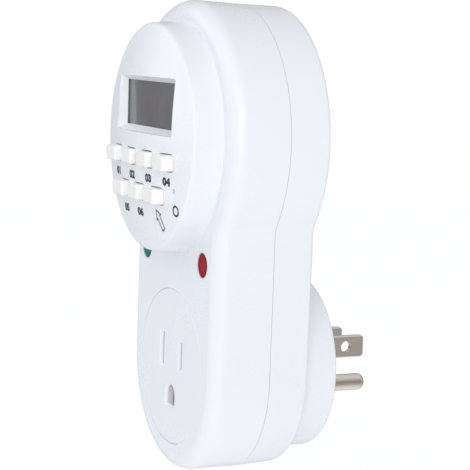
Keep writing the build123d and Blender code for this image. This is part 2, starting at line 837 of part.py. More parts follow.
# Blade contacts: two spring leaves joined by a bridge behind, with a tail for the next conductor
contact_front_y = face_y + insert_plate + contact_front_gap
contact_rear_y = contact_front_y + contact_length
tail_y = -blade_tab_length + tail_overlap
for name, x, tail_end_y in (("neutral_contact", -blade_x, tail_y),
                            ("line_contact", blade_x, contact_rear_y + tail_length)):
    leaf = contact_throat / 2 + strip_thickness / 2
    tail_shift = blade_thickness / 2 + strip_thickness / 2
    tail_x = x - tail_shift if x > 0 else x + tail_shift
    with BuildPart() as contact:
        with BuildSketch(Plane.XY.offset(socket_z - contact_height / 2)):
            for shift in (-leaf, leaf):
                with Locations((x + shift, (contact_front_y + contact_rear_y) / 2)):
                    Rectangle(strip_thickness, contact_length)
            with Locations((x, contact_rear_y - strip_thickness / 2)):
                Rectangle(2 * leaf + strip_thickness, strip_thickness)
            with Locations((tail_x, (contact_rear_y - strip_thickness + tail_end_y) / 2)):
                Rectangle(strip_thickness, tail_end_y - contact_rear_y + strip_thickness)
        extrude(amount=contact_height)
    save(contact, name)


# Ground contact: a split sleeve; its strap runs back under it and up to the ground pin
with BuildPart() as ground_contact:
    with BuildSketch(across(contact_front_y + ground_contact_length)):
        with Locations((0, socket_ground_z)):
            Circle(ground_contact_bore + strip_thickness)
            Circle(ground_contact_bore, mode=Mode.SUBTRACT)
        with Locations((0, socket_ground_z + ground_contact_bore)):
            Rectangle(ground_contact_split, 3 * strip_thickness, mode=Mode.SUBTRACT)
    extrude(amount=ground_contact_length)
save(ground_contact, "ground_contact")

retainer_rear_y = plug_plate_y - shoulder_depth
retainer_front_y = retainer_rear_y - retainer_thickness
strap_rear_y = retainer_front_y
with BuildPart() as ground_strap:
    with BuildSketch(Plane.XY.offset(strap_top_z - strap_thickness)):
        with Locations((0, (contact_front_y + strap_rear_y) / 2)):
            Rectangle(strap_width, strap_rear_y - contact_front_y)
    extrude(amount=strap_thickness)
    strap_head_z = -ground_drop + ground_pin_shank_radius + strap_head_top
    with BuildSketch(across(strap_rear_y)):
        with Locations((0, (strap_top_z - strap_thickness + strap_head_z) / 2)):
            Rectangle(strap_width + 2 * strap_head_side, strap_head_z - strap_top_z + strap_thickness)
        with Locations((0, -ground_drop)):
            Circle(ground_pin_shank_radius + strap_hole_gap, mode=Mode.SUBTRACT)
    extrude(amount=strap_thickness)
save(ground_strap, "ground_strap")


# Plug: two flat blades, the round ground pin and the plate that holds them
for name, x in (("neutral_blade", -blade_x), ("line_blade", blade_x)):
    with BuildPart() as blade:
        with BuildSketch(Plane.YZ.offset(x - blade_thickness / 2)):
            with Locations(((blade_length - blade_tab_length) / 2, 0)):
                strip = Rectangle(blade_length + blade_tab_length, blade_width)
            fillet(strip.vertices().group_by(Axis.X)[-1], blade_tip_round)
            with Locations((plug_plate_y - shoulder_depth / 2, 0)):
                Rectangle(shoulder_depth, blade_shoulder_width)
            with Locations((blade_hole_distance, 0)):
                Circle(blade_hole_radius, mode=Mode.SUBTRACT)
        extrude(amount=blade_thickness)
        chamfer(blade.faces().sort_by(Axis.Y)[-1].edges().filter_by(Axis.Z), blade_tip_bevel)
    save(blade, name)

with BuildPart() as ground_pin:
    with BuildSketch(Plane((0, 0, -ground_drop), x_dir=(1, 0, 0), z_dir=(0, 0, 1))) as pin_section:
        pin_inner_y = strap_rear_y - strap_thickness - pin_rivet_height
        with BuildLine():
            Polyline(
                (0, pin_inner_y),
                (ground_pin_shank_radius, pin_inner_y),
                (ground_pin_shank_radius, retainer_rear_y),
                (ground_pin_flange_radius, retainer_rear_y),
                (ground_pin_flange_radius, plug_plate_y),
                (ground_pin_collar_radius, plug_plate_y),
                (ground_pin_collar_radius, 0),
                (ground_pin_radius, 0),
                (ground_pin_radius, ground_pin_length),
                (0, ground_pin_length),
                close=True,
            )
        make_face()
        tip = pin_section.vertices().filter_by_position(
            Axis.Y, ground_pin_length - pick_band, ground_pin_length + pick_band)
        fillet(tip.sort_by(Axis.X)[-1], ground_pin_tip_round)
    revolve(axis=Axis((0, 0, -ground_drop), (0, 1, 0)))
save(ground_pin, "ground_pin")

retainer_screw_points = [(-retainer_screw_spread, outlet_z), (retainer_screw_spread, outlet_z)]
with BuildPart() as blade_retainer:
    with BuildSketch(across(retainer_rear_y)):
        with Locations((0, outlet_z)):
            Circle(retainer_radius)
        with Locations((-blade_x, 0), (blade_x, 0)):
            Rectangle(blade_thickness + 2 * plug_slot_gap, blade_width + 2 * plug_slot_gap,
                      mode=Mode.SUBTRACT)
        with Locations((0, -ground_drop)):
            Circle(ground_pin_shank_radius + plug_slot_gap, mode=Mode.SUBTRACT)
        with Locations(*retainer_screw_points):
            Circle(retainer_screw_radius + cover_screw_clearance, mode=Mode.SUBTRACT)
    extrude(amount=retainer_thickness)
save(blade_retainer, "blade_retainer")

retainer_screws = screws(retainer_screw_points, retainer_front_y, retainer_screw_radius,
                         retainer_screw_grip, retainer_screw_head_radius, retainer_screw_head_height, 1)
save(retainer_screws, "retainer_screws")


# Power board on its posts
with BuildPart() as power_board:
    with BuildSketch(across(power_rear_y)):
        with Locations((0, (power_board_bottom + power_board_top) / 2)):
            RectangleRounded(power_board_width, power_board_top - power_board_bottom, power_board_corner)
        with Locations(*board_screw_points):
            Circle(board_screw_radius + cover_screw_clearance, mode=Mode.SUBTRACT)
    extrude(amount=board_thickness)
save(power_board, "power_board")


# Relay: base, clear cover, coil, yoke with its core, hinged armature and fixed contact
relay_base_y = power_front_y - relay_base_thickness
with BuildPart(across(power_front_y)) as relay_base:
    with Locations((relay_x, relay_z)):
        Box(relay_width - 2 * (relay_wall + relay_base_gap),
            relay_length - 2 * (relay_wall + relay_base_gap), relay_base_thickness,
            align=(Align.CENTER, Align.CENTER, Align.MIN))
save(relay_base, "relay_base")

with BuildPart() as relay_cover:
    with BuildSketch(across(power_front_y - relay_step)):
        with Locations((relay_x, relay_z)):
            Rectangle(relay_width, relay_length)
    extrude(amount=relay_height - relay_step)
    fillet(relay_cover.edges().filter_by(Axis.Y), relay_edge)
    with BuildSketch(across(power_front_y - relay_step)):
        with Locations((relay_x, relay_z)):
            Rectangle(relay_width - 2 * relay_wall, relay_length - 2 * relay_wall)
    extrude(amount=relay_height - relay_step - relay_wall, mode=Mode.SUBTRACT)
save(relay_cover, "relay_cover")

coil_z = relay_z + coil_offset
bobbin_length = coil_length + 2 * bobbin_flange
with BuildPart() as relay_coil:
    with BuildSketch(across(relay_base_y - yoke_thickness)):
        with Locations((relay_x, coil_z)):
            Circle(coil_radius)
    extrude(amount=bobbin_length)
    for flange_shift in (0, bobbin_flange + coil_length):
        with BuildSketch(across(relay_base_y - yoke_thickness - flange_shift)):
            with Locations((relay_x, coil_z)):
                Circle(bobbin_radius)
        extrude(amount=bobbin_flange)
    with BuildSketch(across(relay_base_y - yoke_thickness)):
        with Locations((relay_x, coil_z)):
            Circle(core_radius + core_bore_gap)
    extrude(amount=bobbin_length, mode=Mode.SUBTRACT)
save(relay_coil, "relay_coil")

pole_y = relay_base_y - yoke_thickness - bobbin_length - core_rise
armature_y = pole_y - core_gap
yoke_top_y = armature_y + armature_clearance
yoke_z = coil_z - bobbin_radius - yoke_gap
with BuildPart() as relay_yoke:
    with BuildSketch(across(relay_base_y)):
        with Locations((relay_x, (yoke_z - yoke_thickness + coil_z + bobbin_radius) / 2)):
            Rectangle(yoke_width, coil_z + bobbin_radius - yoke_z + yoke_thickness)
    extrude(amount=yoke_thickness)
    with BuildSketch(across(relay_base_y)):
        with Locations((relay_x, yoke_z - yoke_thickness / 2)):
            Rectangle(yoke_width, yoke_thickness)
    extrude(amount=relay_base_y - yoke_top_y)
    with BuildSketch(across(relay_base_y)):
        with Locations((relay_x, coil_z)):
            Circle(core_radius)
    extrude(amount=relay_base_y - pole_y)
save(relay_yoke, "relay_yoke")

armature_low_z = yoke_z - yoke_thickness - armature_overhang
armature_high_z = armature_low_z + armature_length
contact_z = armature_high_z - contact_button_radius - contact_button_inset
with BuildPart() as relay_armature:
    with BuildSketch(across(armature_y)):
        with Locations((relay_x, (armature_low_z + armature_high_z) / 2)):
            Rectangle(yoke_width, armature_length)
    extrude(amount=armature_thickness)
    with BuildSketch(Plane((relay_x, armature_y, contact_z), z_dir=(0, 1, 0))):
        Circle(contact_button_radius)
    extrude(amount=contact_button_height)
save(relay_armature, "relay_armature")

fixed_contact_y = armature_y + contact_button_height + contact_stroke
with BuildPart() as relay_contact:
    with BuildSketch(across(relay_base_y)):
        with Locations((relay_x, contact_z)):
            Rectangle(fixed_contact_width, fixed_contact_thickness)
    extrude(amount=relay_base_y - fixed_contact_y - contact_button_height)
    with BuildSketch(across(fixed_contact_y + contact_button_height)):
        with Locations((relay_x, contact_z)):
            Circle(contact_button_radius)
    extrude(amount=contact_button_height)
save(relay_contact, "relay_contact")


# Other components on the power board
with BuildPart(across(power_front_y)) as film_capacitor:
    with Locations(film_capacitor_point):
        Box(*film_capacitor_size, align=(Align.CENTER, Align.CENTER, Align.MIN))
    fillet(film_capacitor.edges().filter_by(Axis.Y), film_capacitor_edge)
save(film_capacitor, "film_capacitor")

with BuildPart() as filter_capacitor:
    with BuildSketch(across(power_front_y)):
        with Locations(filter_capacitor_point):
            Circle(filter_capacitor_radius)
    extrude(amount=filter_capacitor_length)
    fillet(filter_capacitor.faces().sort_by(Axis.Y)[0].edges(), filter_capacitor_edge)
save(filter_capacitor, "filter_capacitor")

with BuildPart() as varistor:
    varistor_y = power_front_y - varistor_lift - varistor_radius
    with BuildSketch(Plane.YZ.offset(varistor_point[0] - varistor_thickness / 2)):
        with Locations((varistor_y, varistor_point[1])):
            Circle(varistor_radius)
    extrude(amount=varistor_thickness)
    fillet(varistor.edges().filter_by(GeomType.CIRCLE), varistor_edge)
    with BuildSketch(across(power_front_y)):
        with Locations((varistor_point[0], varistor_point[1] - lead_pitch),
                       (varistor_point[0], varistor_point[1] + lead_pitch)):
            Circle(varistor_lead_radius)
    extrude(amount=varistor_lift + varistor_radius)
save(varistor, "varistor")

with BuildPart() as fuse:
    fuse_y = power_front_y - fuse_radius
    with BuildSketch(Plane((fuse_point[0], fuse_y, fuse_point[1] - fuse_length / 2), z_dir=(0, 0, 1))):
        Circle(fuse_body_radius)
    extrude(amount=fuse_length)
    for cap_z in (fuse_point[1] - fuse_length / 2, fuse_point[1] + fuse_length / 2 - fuse_cap_length):
        with BuildSketch(Plane((fuse_point[0], fuse_y, cap_z), z_dir=(0, 0, 1))):
            Circle(fuse_radius)
        extrude(amount=fuse_cap_length)
save(fuse, "fuse")

with BuildPart() as diodes:
    for x, z in diode_points:
        with BuildSketch(Plane((x - diode_length / 2, power_front_y - diode_radius, z), z_dir=(1, 0, 0))):
            Circle(diode_radius)
        extrude(amount=diode_length)
save(diodes, "diodes")

with BuildPart() as driver_transistor:
    with BuildSketch(across(power_front_y - transistor_lift)):
        with Locations(transistor_point):
            Circle(transistor_radius)
        with Locations((transistor_point[0], transistor_point[1] - transistor_flat - transistor_radius)):
            Rectangle(3 * transistor_radius, 2 * transistor_radius, mode=Mode.SUBTRACT)
    extrude(amount=transistor_height)
    with BuildSketch(across(power_front_y)):
        with Locations(transistor_point):
            with GridLocations(transistor_lead_pitch, 1, 3, 1):
                Circle(lead_radius)
    extrude(amount=transistor_lift)
save(driver_transistor, "driver_transistor")

with BuildPart() as dropper_resistor:
    with BuildSketch(Plane((resistor_point[0] - resistor_length / 2, power_front_y - resistor_radius,
                            resistor_point[1]), z_dir=(1, 0, 0))):
        Circle(resistor_radius)
    extrude(amount=resistor_length)
    fillet(dropper_resistor.edges().filter_by(GeomType.CIRCLE), resistor_edge)
save(dropper_resistor, "dropper_resistor")


# Wires from the plug and the outlet to the power board
def wire(name, points):
    with BuildPart() as lead:
        with BuildLine():
            route = FilletPolyline(*points, radius=wire_bend)
        with BuildSketch(Plane(origin=route @ 0, z_dir=route % 0)):
            Circle(wire_radius)
        sweep()
    save(lead, name)


wire_rear_y = power_rear_y + wire_radius
blade_top_z = blade_width / 2
contact_top_z = socket_z + contact_height / 2
tab_y = -blade_tab_length + tab_wire_inset
neutral_wire_x = -blade_x + blade_thickness / 2 + wire_radius
for name, x, low_z in (("line_wire", blade_x, blade_top_z),
                       ("neutral_wire", neutral_wire_x, contact_top_z)):
    wire(name, [
        (x, tab_y, low_z),
        (x, tab_y, low_z + wire_rise),
        (x, wire_rear_y, low_z + 2 * wire_rise),
        (x, wire_rear_y, power_board_bottom + wire_landing),
    ])
load_x = blade_x - blade_thickness / 2 - strip_thickness / 2
load_y = contact_rear_y + tail_length / 2
load_front_y = power_front_y - wire_radius
wire("load_wire", [
    (load_x, load_y, contact_top_z),
    (load_x, load_y, power_board_bottom - wire_rise),
    (load_x - load_shift, load_front_y, power_board_bottom - load_landing),
    (load_x - load_shift, load_front_y, power_board_bottom + wire_landing),
])


# Ribbon between the boards, bowed so that it takes up the gap's tolerance
ribbon_z = power_board_top - ribbon_offset
ribbon_front_y = face_y - logic_board_height
with BuildPart() as ribbon_cable:
    with BuildSketch(Plane.YZ.offset(-ribbon_width / 2)):
        ribbon_middle = (power_front_y + ribbon_front_y) / 2
        with BuildLine():
            outer = ThreePointArc((power_front_y, ribbon_z), (ribbon_middle, ribbon_z + ribbon_bow),
                                  (ribbon_front_y, ribbon_z))
            inner = ThreePointArc((power_front_y, ribbon_z - ribbon_thickness),
                                  (ribbon_middle, ribbon_z + ribbon_bow - ribbon_thickness),
                                  (ribbon_front_y, ribbon_z - ribbon_thickness))
            Line(outer @ 0, inner @ 0)
            Line(outer @ 1, inner @ 1)
        make_face()
    extrude(amount=ribbon_width)
save(ribbon_cable, "ribbon_cable")
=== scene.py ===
import json
from math import cos, pi, radians, sin, sqrt
import bmesh
import bpy
from mathutils import Matrix, Vector


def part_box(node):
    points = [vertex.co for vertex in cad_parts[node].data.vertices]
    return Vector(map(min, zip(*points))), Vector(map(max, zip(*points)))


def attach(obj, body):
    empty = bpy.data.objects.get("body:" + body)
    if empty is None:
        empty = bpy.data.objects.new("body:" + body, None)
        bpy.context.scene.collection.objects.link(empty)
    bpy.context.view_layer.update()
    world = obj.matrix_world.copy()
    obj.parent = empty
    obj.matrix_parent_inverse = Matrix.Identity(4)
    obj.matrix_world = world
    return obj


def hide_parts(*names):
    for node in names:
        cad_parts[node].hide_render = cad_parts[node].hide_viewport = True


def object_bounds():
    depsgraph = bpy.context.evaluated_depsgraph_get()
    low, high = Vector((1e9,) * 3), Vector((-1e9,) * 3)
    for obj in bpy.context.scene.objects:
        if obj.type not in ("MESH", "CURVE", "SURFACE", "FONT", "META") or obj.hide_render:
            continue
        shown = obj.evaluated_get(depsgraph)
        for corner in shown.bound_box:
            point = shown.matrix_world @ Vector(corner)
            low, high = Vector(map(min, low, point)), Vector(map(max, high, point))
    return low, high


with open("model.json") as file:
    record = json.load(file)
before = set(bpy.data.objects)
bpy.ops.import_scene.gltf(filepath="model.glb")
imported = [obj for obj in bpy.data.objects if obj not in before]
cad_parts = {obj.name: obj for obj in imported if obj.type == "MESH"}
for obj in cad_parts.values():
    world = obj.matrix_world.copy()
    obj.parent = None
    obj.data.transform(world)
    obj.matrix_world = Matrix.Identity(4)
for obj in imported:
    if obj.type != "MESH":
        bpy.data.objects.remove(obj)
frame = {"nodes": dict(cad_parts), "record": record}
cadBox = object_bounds()
nodes = frame["nodes"]
scene = bpy.context.scene
mm = 0.001


# camera, world, floor and lamps

cameraSetup = {
    "place": (0.39456, -0.20248, 0.08531),
    "turn": 65.27,      # degrees round Z, from facing +Y
    "dip": 7.05,        # degrees below the horizon
    "roll": 2.01,
    "lens": 121.63,
    "sensor": 36.0,
}


def placeCamera(setup):
    turn, dip, roll = (radians(setup[key]) for key in ("turn", "dip", "roll"))
    ahead = Vector((-sin(turn) * cos(dip), cos(turn) * cos(dip), -sin(dip)))
    side = Vector((cos(turn), sin(turn), 0))
    up = side.cross(ahead)
    right = side * cos(roll) + up * sin(roll)
    top = up * cos(roll) - side * sin(roll)
    data = bpy.data.cameras.new("camera")
    data.lens = setup["lens"]
    data.sensor_width = setup["sensor"]
    data.clip_start = 0.01
    holder = bpy.data.objects.new("camera", data)
    turnMatrix = Matrix((right, top, -ahead)).transposed().to_4x4()
    holder.matrix_world = Matrix.Translation(setup["place"]) @ turnMatrix
    scene.collection.objects.link(holder)
    scene.camera = holder


class Flow:  # a value on its way through a finish; sums on it add Math nodes
    def __init__(self, finish, socket):
        self.finish = finish
        self.socket = socket

    def reckon(self, operation, first, second):
        return self.finish.node("ShaderNodeMath", {"operation": operation}, {0: first, 1: second})

    def __add__(self, other):
        return self.reckon("ADD", self, other)

    def __radd__(self, other):
        return self.reckon("ADD", other, self)

    def __sub__(self, other):
        return self.reckon("SUBTRACT", self, other)

    def __rsub__(self, other):
        return self.reckon("SUBTRACT", other, self)

    def __mul__(self, other):
        return self.reckon("MULTIPLY", self, other)

    def __truediv__(self, other):
        return self.reckon("DIVIDE", self, other)

    def __pow__(self, other):
        return self.reckon("POWER", self, other)

    def __gt__(self, other):
        return self.reckon("GREATER_THAN", self, other)

    def __lt__(self, other):
        return self.reckon("LESS_THAN", self, other)

    def most(self, other):
        return self.reckon("MAXIMUM", self, other)


class Finish:  # one material's nodes
    def __init__(self, name, tree=None):
        self.material = None
        if tree is None:
            self.material = bpy.data.materials.new(name)
            self.material.use_nodes = True
            tree = self.material.node_tree
        self.tree = tree
        self.tree.nodes.clear()

    def node(self, kind, settings=None, values=None, out=0):
        made = self.tree.nodes.new(kind)
        for name, setting in (settings or {}).items():
            setattr(made, name, setting)
        for place, value in (values or {}).items():
            if isinstance(value, Flow):
                self.tree.links.new(value.socket, made.inputs[place])
            else:
                made.inputs[place].default_value = value
        return Flow(self, made.outputs[out]) if made.outputs else None

    def spot(self, scale=(1, 1, 1), shift=(0, 0, 0)):
        place = self.node("ShaderNodeTexCoord", out="Object")
        return self.node("ShaderNodeMapping", {"vector_type": "POINT"},
                         {"Vector": place, "Scale": scale, "Location": shift})

    def axes(self, shift=(0, 0, 0)):
        split = self.tree.nodes.new("ShaderNodeSeparateXYZ")
        self.tree.links.new(self.spot(shift=shift).socket, split.inputs[0])
        return [Flow(self, output) for output in split.outputs]

    def noise(self, size, detail=2.0, stretch=(1, 1, 1)):
        scale = tuple(1 / (size * part) for part in stretch)
        sockets = {"Vector": self.spot(scale), "Scale": 1.0, "Detail": detail}
        return self.node("ShaderNodeTexNoise", {}, sockets)

    def span(self, value, low, high, start=0.0, end=1.0):
        return self.node("ShaderNodeMapRange", {"clamp": True},
                         {"Value": value, "From Min": low, "From Max": high,
                          "To Min": start, "To Max": end})

    def mix(self, share, first, second):
        return self.node("ShaderNodeMix", {"data_type": "RGBA"},
                         {0: share, 6: colourOf(first), 7: colourOf(second)}, 2)

    def bump(self, height, strength=1.0):  # height in metres
        values = {"Strength": strength, "Distance": 1.0, "Height": height}
        return self.node("ShaderNodeBump", {}, values)

    def close(self, shader):
        self.node("ShaderNodeOutputMaterial", {}, {"Surface": shader})
        return self.material

    def body(self, values):
        return self.node("ShaderNodeBsdfPrincipled", {}, values)


def colourOf(value):
    return value if isinstance(value, Flow) else (*value[:3], 1.0)


lightSetup = {
    "ambient": (0.93, 0.955, 1.0),
    "ambientLevel": 0.52,
    "mirrorLow": 0.37,      # what gloss reflects at the horizon, and overhead
    "mirrorHigh": 0.88,
    "mirrorBand": (0.30, 0.80),     # heights between which it turns from one to the other
    "floorSpan": 1.3,
    "floorTint": (0.93, 0.94, 0.96),
    "floorWhite": 0.90,     # share of plain white that the camera sees in the floor
    "floorGlow": 1.04,      # strength of that white
    "floorFar": 0.50,       # what gloss reflects of the floor far off, and straight below
    "floorNear": 1.1,
    "floorBand": (0.35, 0.85),      # steepness of sight between those two
    "floorLift": 0.2,       # share and strength of the light that it throws back up
    "floorBounce": 1.35,
    "lamps": {
        # name: place, watts, width, height, tint
        "windowRight": ((1.20, -0.50, 0.26), 9.4, 1.0, 1.3, (1.0, 0.985, 0.96)),
        "softLeft": ((-1.05, -1.05, 0.48), 4.3, 1.1, 1.1, (0.95, 0.965, 1.0)),
        "softTop": ((0.05, -0.90, 1.15), 2.5, 1.2, 1.2, (0.97, 0.975, 1.0)),
        "softBack": ((0.40, 1.30, 0.30), 1.0, 1.0, 1.0, (1.0, 0.99, 0.97)),
    },
    "aim": (0.0, -0.02, 0.03),
}


def rayKinds(finish, *names):
    path = finish.tree.nodes.new("ShaderNodeLightPath")
    return [Flow(finish, path.outputs[name]) for name in names]


def clearSight(finish):
    # 1 for the camera's own rays, also through the clear window, and 0 for every other ray
    seen, through, mirrors, bounces = rayKinds(finish, "Is Camera Ray", "Is Transmission Ray",
                                               "Glossy Depth", "Diffuse Depth")
    return seen.most(through * ((mirrors + bounces) < 0.5))


def lightScene(setup):
    world = bpy.data.worlds.new("studio")
    world.use_nodes = True
    scene.world = world
    sky = Finish("studio", world.node_tree)
    mirrored = rayKinds(sky, "Glossy Depth")[0] > 0.5
    soft = sky.node("ShaderNodeBackground", {},
                    {"Color": (*setup["ambient"], 1), "Strength": setup["ambientLevel"]})
    white = sky.node("ShaderNodeBackground", {}, {"Color": (1, 1, 1, 1), "Strength": 1.0})
    split = sky.tree.nodes.new("ShaderNodeSeparateXYZ")
    sky.tree.links.new(sky.node("ShaderNodeTexCoord", out="Generated").socket, split.inputs[0])
    upward = Flow(sky, split.outputs["Z"])
    shine = sky.span(upward, *setup["mirrorBand"], setup["mirrorLow"], setup["mirrorHigh"])
    room = sky.node("ShaderNodeBackground", {}, {"Color": (1, 1, 1, 1), "Strength": shine})
    lit = sky.node("ShaderNodeMixShader", {}, {0: mirrored, 1: soft, 2: room})
    both = sky.node("ShaderNodeMixShader", {}, {0: clearSight(sky), 1: lit, 2: white})
    sky.node("ShaderNodeOutputWorld", {}, {"Surface": both})

    half = setup["floorSpan"] / 2
    mesh = bpy.data.meshes.new("floor")
    level = cadBox[0][2]
    corners = [(x * half, y * half, level) for x, y in ((-1, -1), (1, -1), (1, 1), (-1, 1))]
    mesh.from_pydata(corners, [], [(0, 1, 2, 3)])
    floor = bpy.data.objects.new("floor", mesh)
    scene.collection.objects.link(floor)
    paper = Finish("paperFloor")
    matte = paper.node("ShaderNodeBsdfDiffuse", {}, {"Color": (*setup["floorTint"], 1)})
    gloss = rayKinds(paper, "Is Glossy Ray")[0]
    clear = clearSight(paper)
    split = paper.tree.nodes.new("ShaderNodeSeparateXYZ")
    sight = paper.node("ShaderNodeNewGeometry", out="Incoming")
    paper.tree.links.new(sight.socket, split.inputs[0])
    steepness = Flow(paper, split.outputs["Z"])
    seenInGloss = paper.span(steepness, *setup["floorBand"], setup["floorFar"], setup["floorNear"])
    scattered = 1.0 - (clear + gloss)
    strength = clear * setup["floorGlow"] + gloss * seenInGloss + scattered * setup["floorBounce"]
    glow = paper.node("ShaderNodeEmission", {}, {"Color": (1, 1, 1, 1), "Strength": strength})
    shown = (clear * setup["floorWhite"]).most(gloss).most(setup["floorLift"])
    surface = paper.node("ShaderNodeMixShader", {}, {0: shown, 1: matte, 2: glow})
    mesh.materials.append(paper.close(surface))

    aim = Vector(setup["aim"])
    for name, (place, watts, width, height, tint) in setup["lamps"].items():
        data = bpy.data.lights.new(name, "AREA")
        data.shape = "RECTANGLE"
        data.size = width
        data.size_y = height
        data.energy = watts
        data.color = tint
        lamp = bpy.data.objects.new(name, data)
        place = Vector(place)
        turned = (aim - place).to_track_quat("-Z", "Y").to_matrix().to_4x4()
        lamp.matrix_world = Matrix.Translation(place) @ turned
        lamp.visible_camera = False
        scene.collection.objects.link(lamp)


placeCamera(cameraSetup)
lightScene(lightSetup)
scene.view_settings.view_transform = "Standard"
print("camera, floor and lamps placed")


# finishes

casePlastic = {
    "tint": (0.900, 0.918, 0.955),
    "shadeTint": (0.890, 0.910, 0.950),
    "roughness": 0.27,
    "grain": 0.00022,       # size of the fine satin grain
    "grainHeight": 0.0000002,
    "waveSize": 0.016,      # slow sinks and swells left by moulding
    "waveHeight": 0.000008,
}
keyPlastic = {
    "tint": (0.990, 0.978, 0.958),
    "shadeTint": (0.980, 0.968, 0.948),
    "roughness": 0.22,
    "grain": 0.00015,
    "grainHeight": 0.0000004,
    "waveSize": 0.005,
    "waveHeight": 0.000002,
}
framePlastic = dict(casePlastic, tint=(0.80, 0.81, 0.82), shadeTint=(0.78, 0.79, 0.80),
                    roughness=0.5)
innerPlastic = dict(casePlastic, tint=(0.86, 0.86, 0.84), shadeTint=(0.83, 0.83, 0.81),
                    roughness=0.48, grainHeight=0.000003)
blackResin = dict(casePlastic, tint=(0.030, 0.030, 0.032), shadeTint=(0.022, 0.022, 0.024),
                  roughness=0.42, grainHeight=0.000004)


def mouldedPlastic(name, look, coat=0.0):
    made = Finish(name)
    drift = made.noise(0.05, 1)
    patches = made.noise(0.022, 1)      # where hands have polished it, very faintly
    grain = made.noise(look["grain"], 2)
    swell = made.noise(look["waveSize"], 0)
    tint = made.mix(made.span(drift, 0.3, 0.7), look["tint"], look["shadeTint"])
    rough = look["roughness"] + (patches - 0.5) * 0.04 + (grain - 0.5) * 0.02
    height = grain * look["grainHeight"] + swell * look["waveHeight"]
    return made.close(made.body({
        "Base Color": tint,
        "Roughness": rough,
        "Normal": made.bump(height),
        "IOR": 1.49,
        "Coat Weight": coat,
    }))


clearPlastic = {"tint": (0.96, 0.97, 0.975), "roughness": 0.09, "ior": 1.49}
lensPlastic = {
    # each lens's second colour is the darker one, used for the lamp ring and for painted shade
    # towards the rim
    "green": {"tint": (0.007, 0.240, 0.218), "ringAndRimShade": (0.0035, 0.126, 0.116),
              "centre": (-0.0195, 0.0264)},
    "red": {"tint": (0.380, 0.016, 0.024), "ringAndRimShade": (0.185, 0.007, 0.011),
            "centre": (0.0195, 0.0264)},
    "radius": 0.0033,
    "roughness": 0.22,
}


def clearWindow(name, look):
    made = Finish(name)
    smear = made.span(made.noise(0.006, 4, (1, 1, 2.5)), 0.45, 0.75)
    glass = made.body({
        "Base Color": (*look["tint"], 1),
        "Roughness": look["roughness"] + smear * 0.05,
        "Normal": made.bump(made.noise(0.012, 1) * 0.000004),
        "Transmission Weight": 1.0,
        "IOR": look["ior"],
    })
    through = rayKinds(made, "Is Shadow Ray")[0]
    clear = made.node("ShaderNodeBsdfTransparent", {}, {"Color": (*look["tint"], 1)})
    return made.close(made.node("ShaderNodeMixShader", {}, {0: through, 1: glass, 2: clear}))


def lampLens(name, look, common):
    # moulded lens, darker towards its rim in painted shade from the edge of its hole, with a faint
    # ring where the lamp sits behind
    made = Finish(name)
    x, _, z = made.axes(shift=(-look["centre"][0], 0, -look["centre"][1]))
    away = ((x * x + z * z) ** 0.5) / common["radius"]
    ring = made.span(away, 0.42, 0.50) - made.span(away, 0.50, 0.60)
    # painted shade: the colour darkens towards the rim, where the hole's edge shades the lens
    tint = made.mix(made.span(away, 0.35, 1.0), look["tint"], look["ringAndRimShade"])
    tint = made.mix(ring * 0.35, tint, look["ringAndRimShade"])
    flecks = made.noise(0.0008, 3)
    tint = made.mix(made.span(flecks, 0.55, 0.7) * 0.2, tint, look["tint"])
    return made.close(made.body({
        "Base Color": tint,
        "Roughness": common["roughness"] + (flecks - 0.5) * 0.08,
        "Normal": made.bump(flecks * 0.000004),
        "IOR": 1.49,
        "Specular IOR Level": 0.06,
    }))


displayGlass = {
    "tint": (0.018, 0.021, 0.030),
    "warm": (0.046, 0.021, 0.032),      # towards the middle
    "edge": (0.022, 0.022, 0.025),
    "roughness": 0.30,
    "centre": (0.0, 0.06715),
    "halfWidth": 0.0190,
    "halfHeight": 0.0061,
}


def displayFilm(name, look):
    # liquid crystal with its polariser: nearly even grey, warmer in the middle, darker at its seal
    made = Finish(name)
    x, _, z = made.axes(shift=(-look["centre"][0], 0, -look["centre"][1]))
    across = x / look["halfWidth"]
    over = z / look["halfHeight"]
    seal = made.span((across * across).most(over * over), 0.86, 1.02)
    cloud = made.noise(0.007, 3)
    middle = made.span((across * across + over * over) ** 0.5, 0.1, 1.0, 1.0, 0.0)
    tint = made.mix(middle * (cloud + 0.5), look["tint"], look["warm"])
    tint = made.mix(seal, tint, look["edge"])
    fine = made.node("ShaderNodeTexWave", {"wave_type": "BANDS", "bands_direction": "DIAGONAL"},
                     {"Vector": made.spot((9000, 9000, 9000)), "Scale": 1.0, "Distortion": 0.4}, 1)
    return made.close(made.body({
        "Base Color": tint,
        "Roughness": look["roughness"] + (cloud - 0.5) * 0.08,
        "Normal": made.bump(fine * 0.0000006),
        "IOR": 1.5,
        "Specular IOR Level": 0.15,
    }))


nickelPlate = {"tint": (0.66, 0.61, 0.565), "dull": (0.64, 0.575, 0.52), "roughness": 0.13,
               "lineLength": 0.010, "lineWidth": 0.00012}
bareBrass = {"tint": (0.78, 0.42, 0.27), "dull": (0.52, 0.26, 0.16), "roughness": 0.28,
             "lineLength": 0.006, "lineWidth": 0.00010}
zincSteel = {"tint": (0.60, 0.60, 0.61), "dull": (0.42, 0.42, 0.43), "roughness": 0.33,
             "lineLength": 0.0015, "lineWidth": 0.00030}


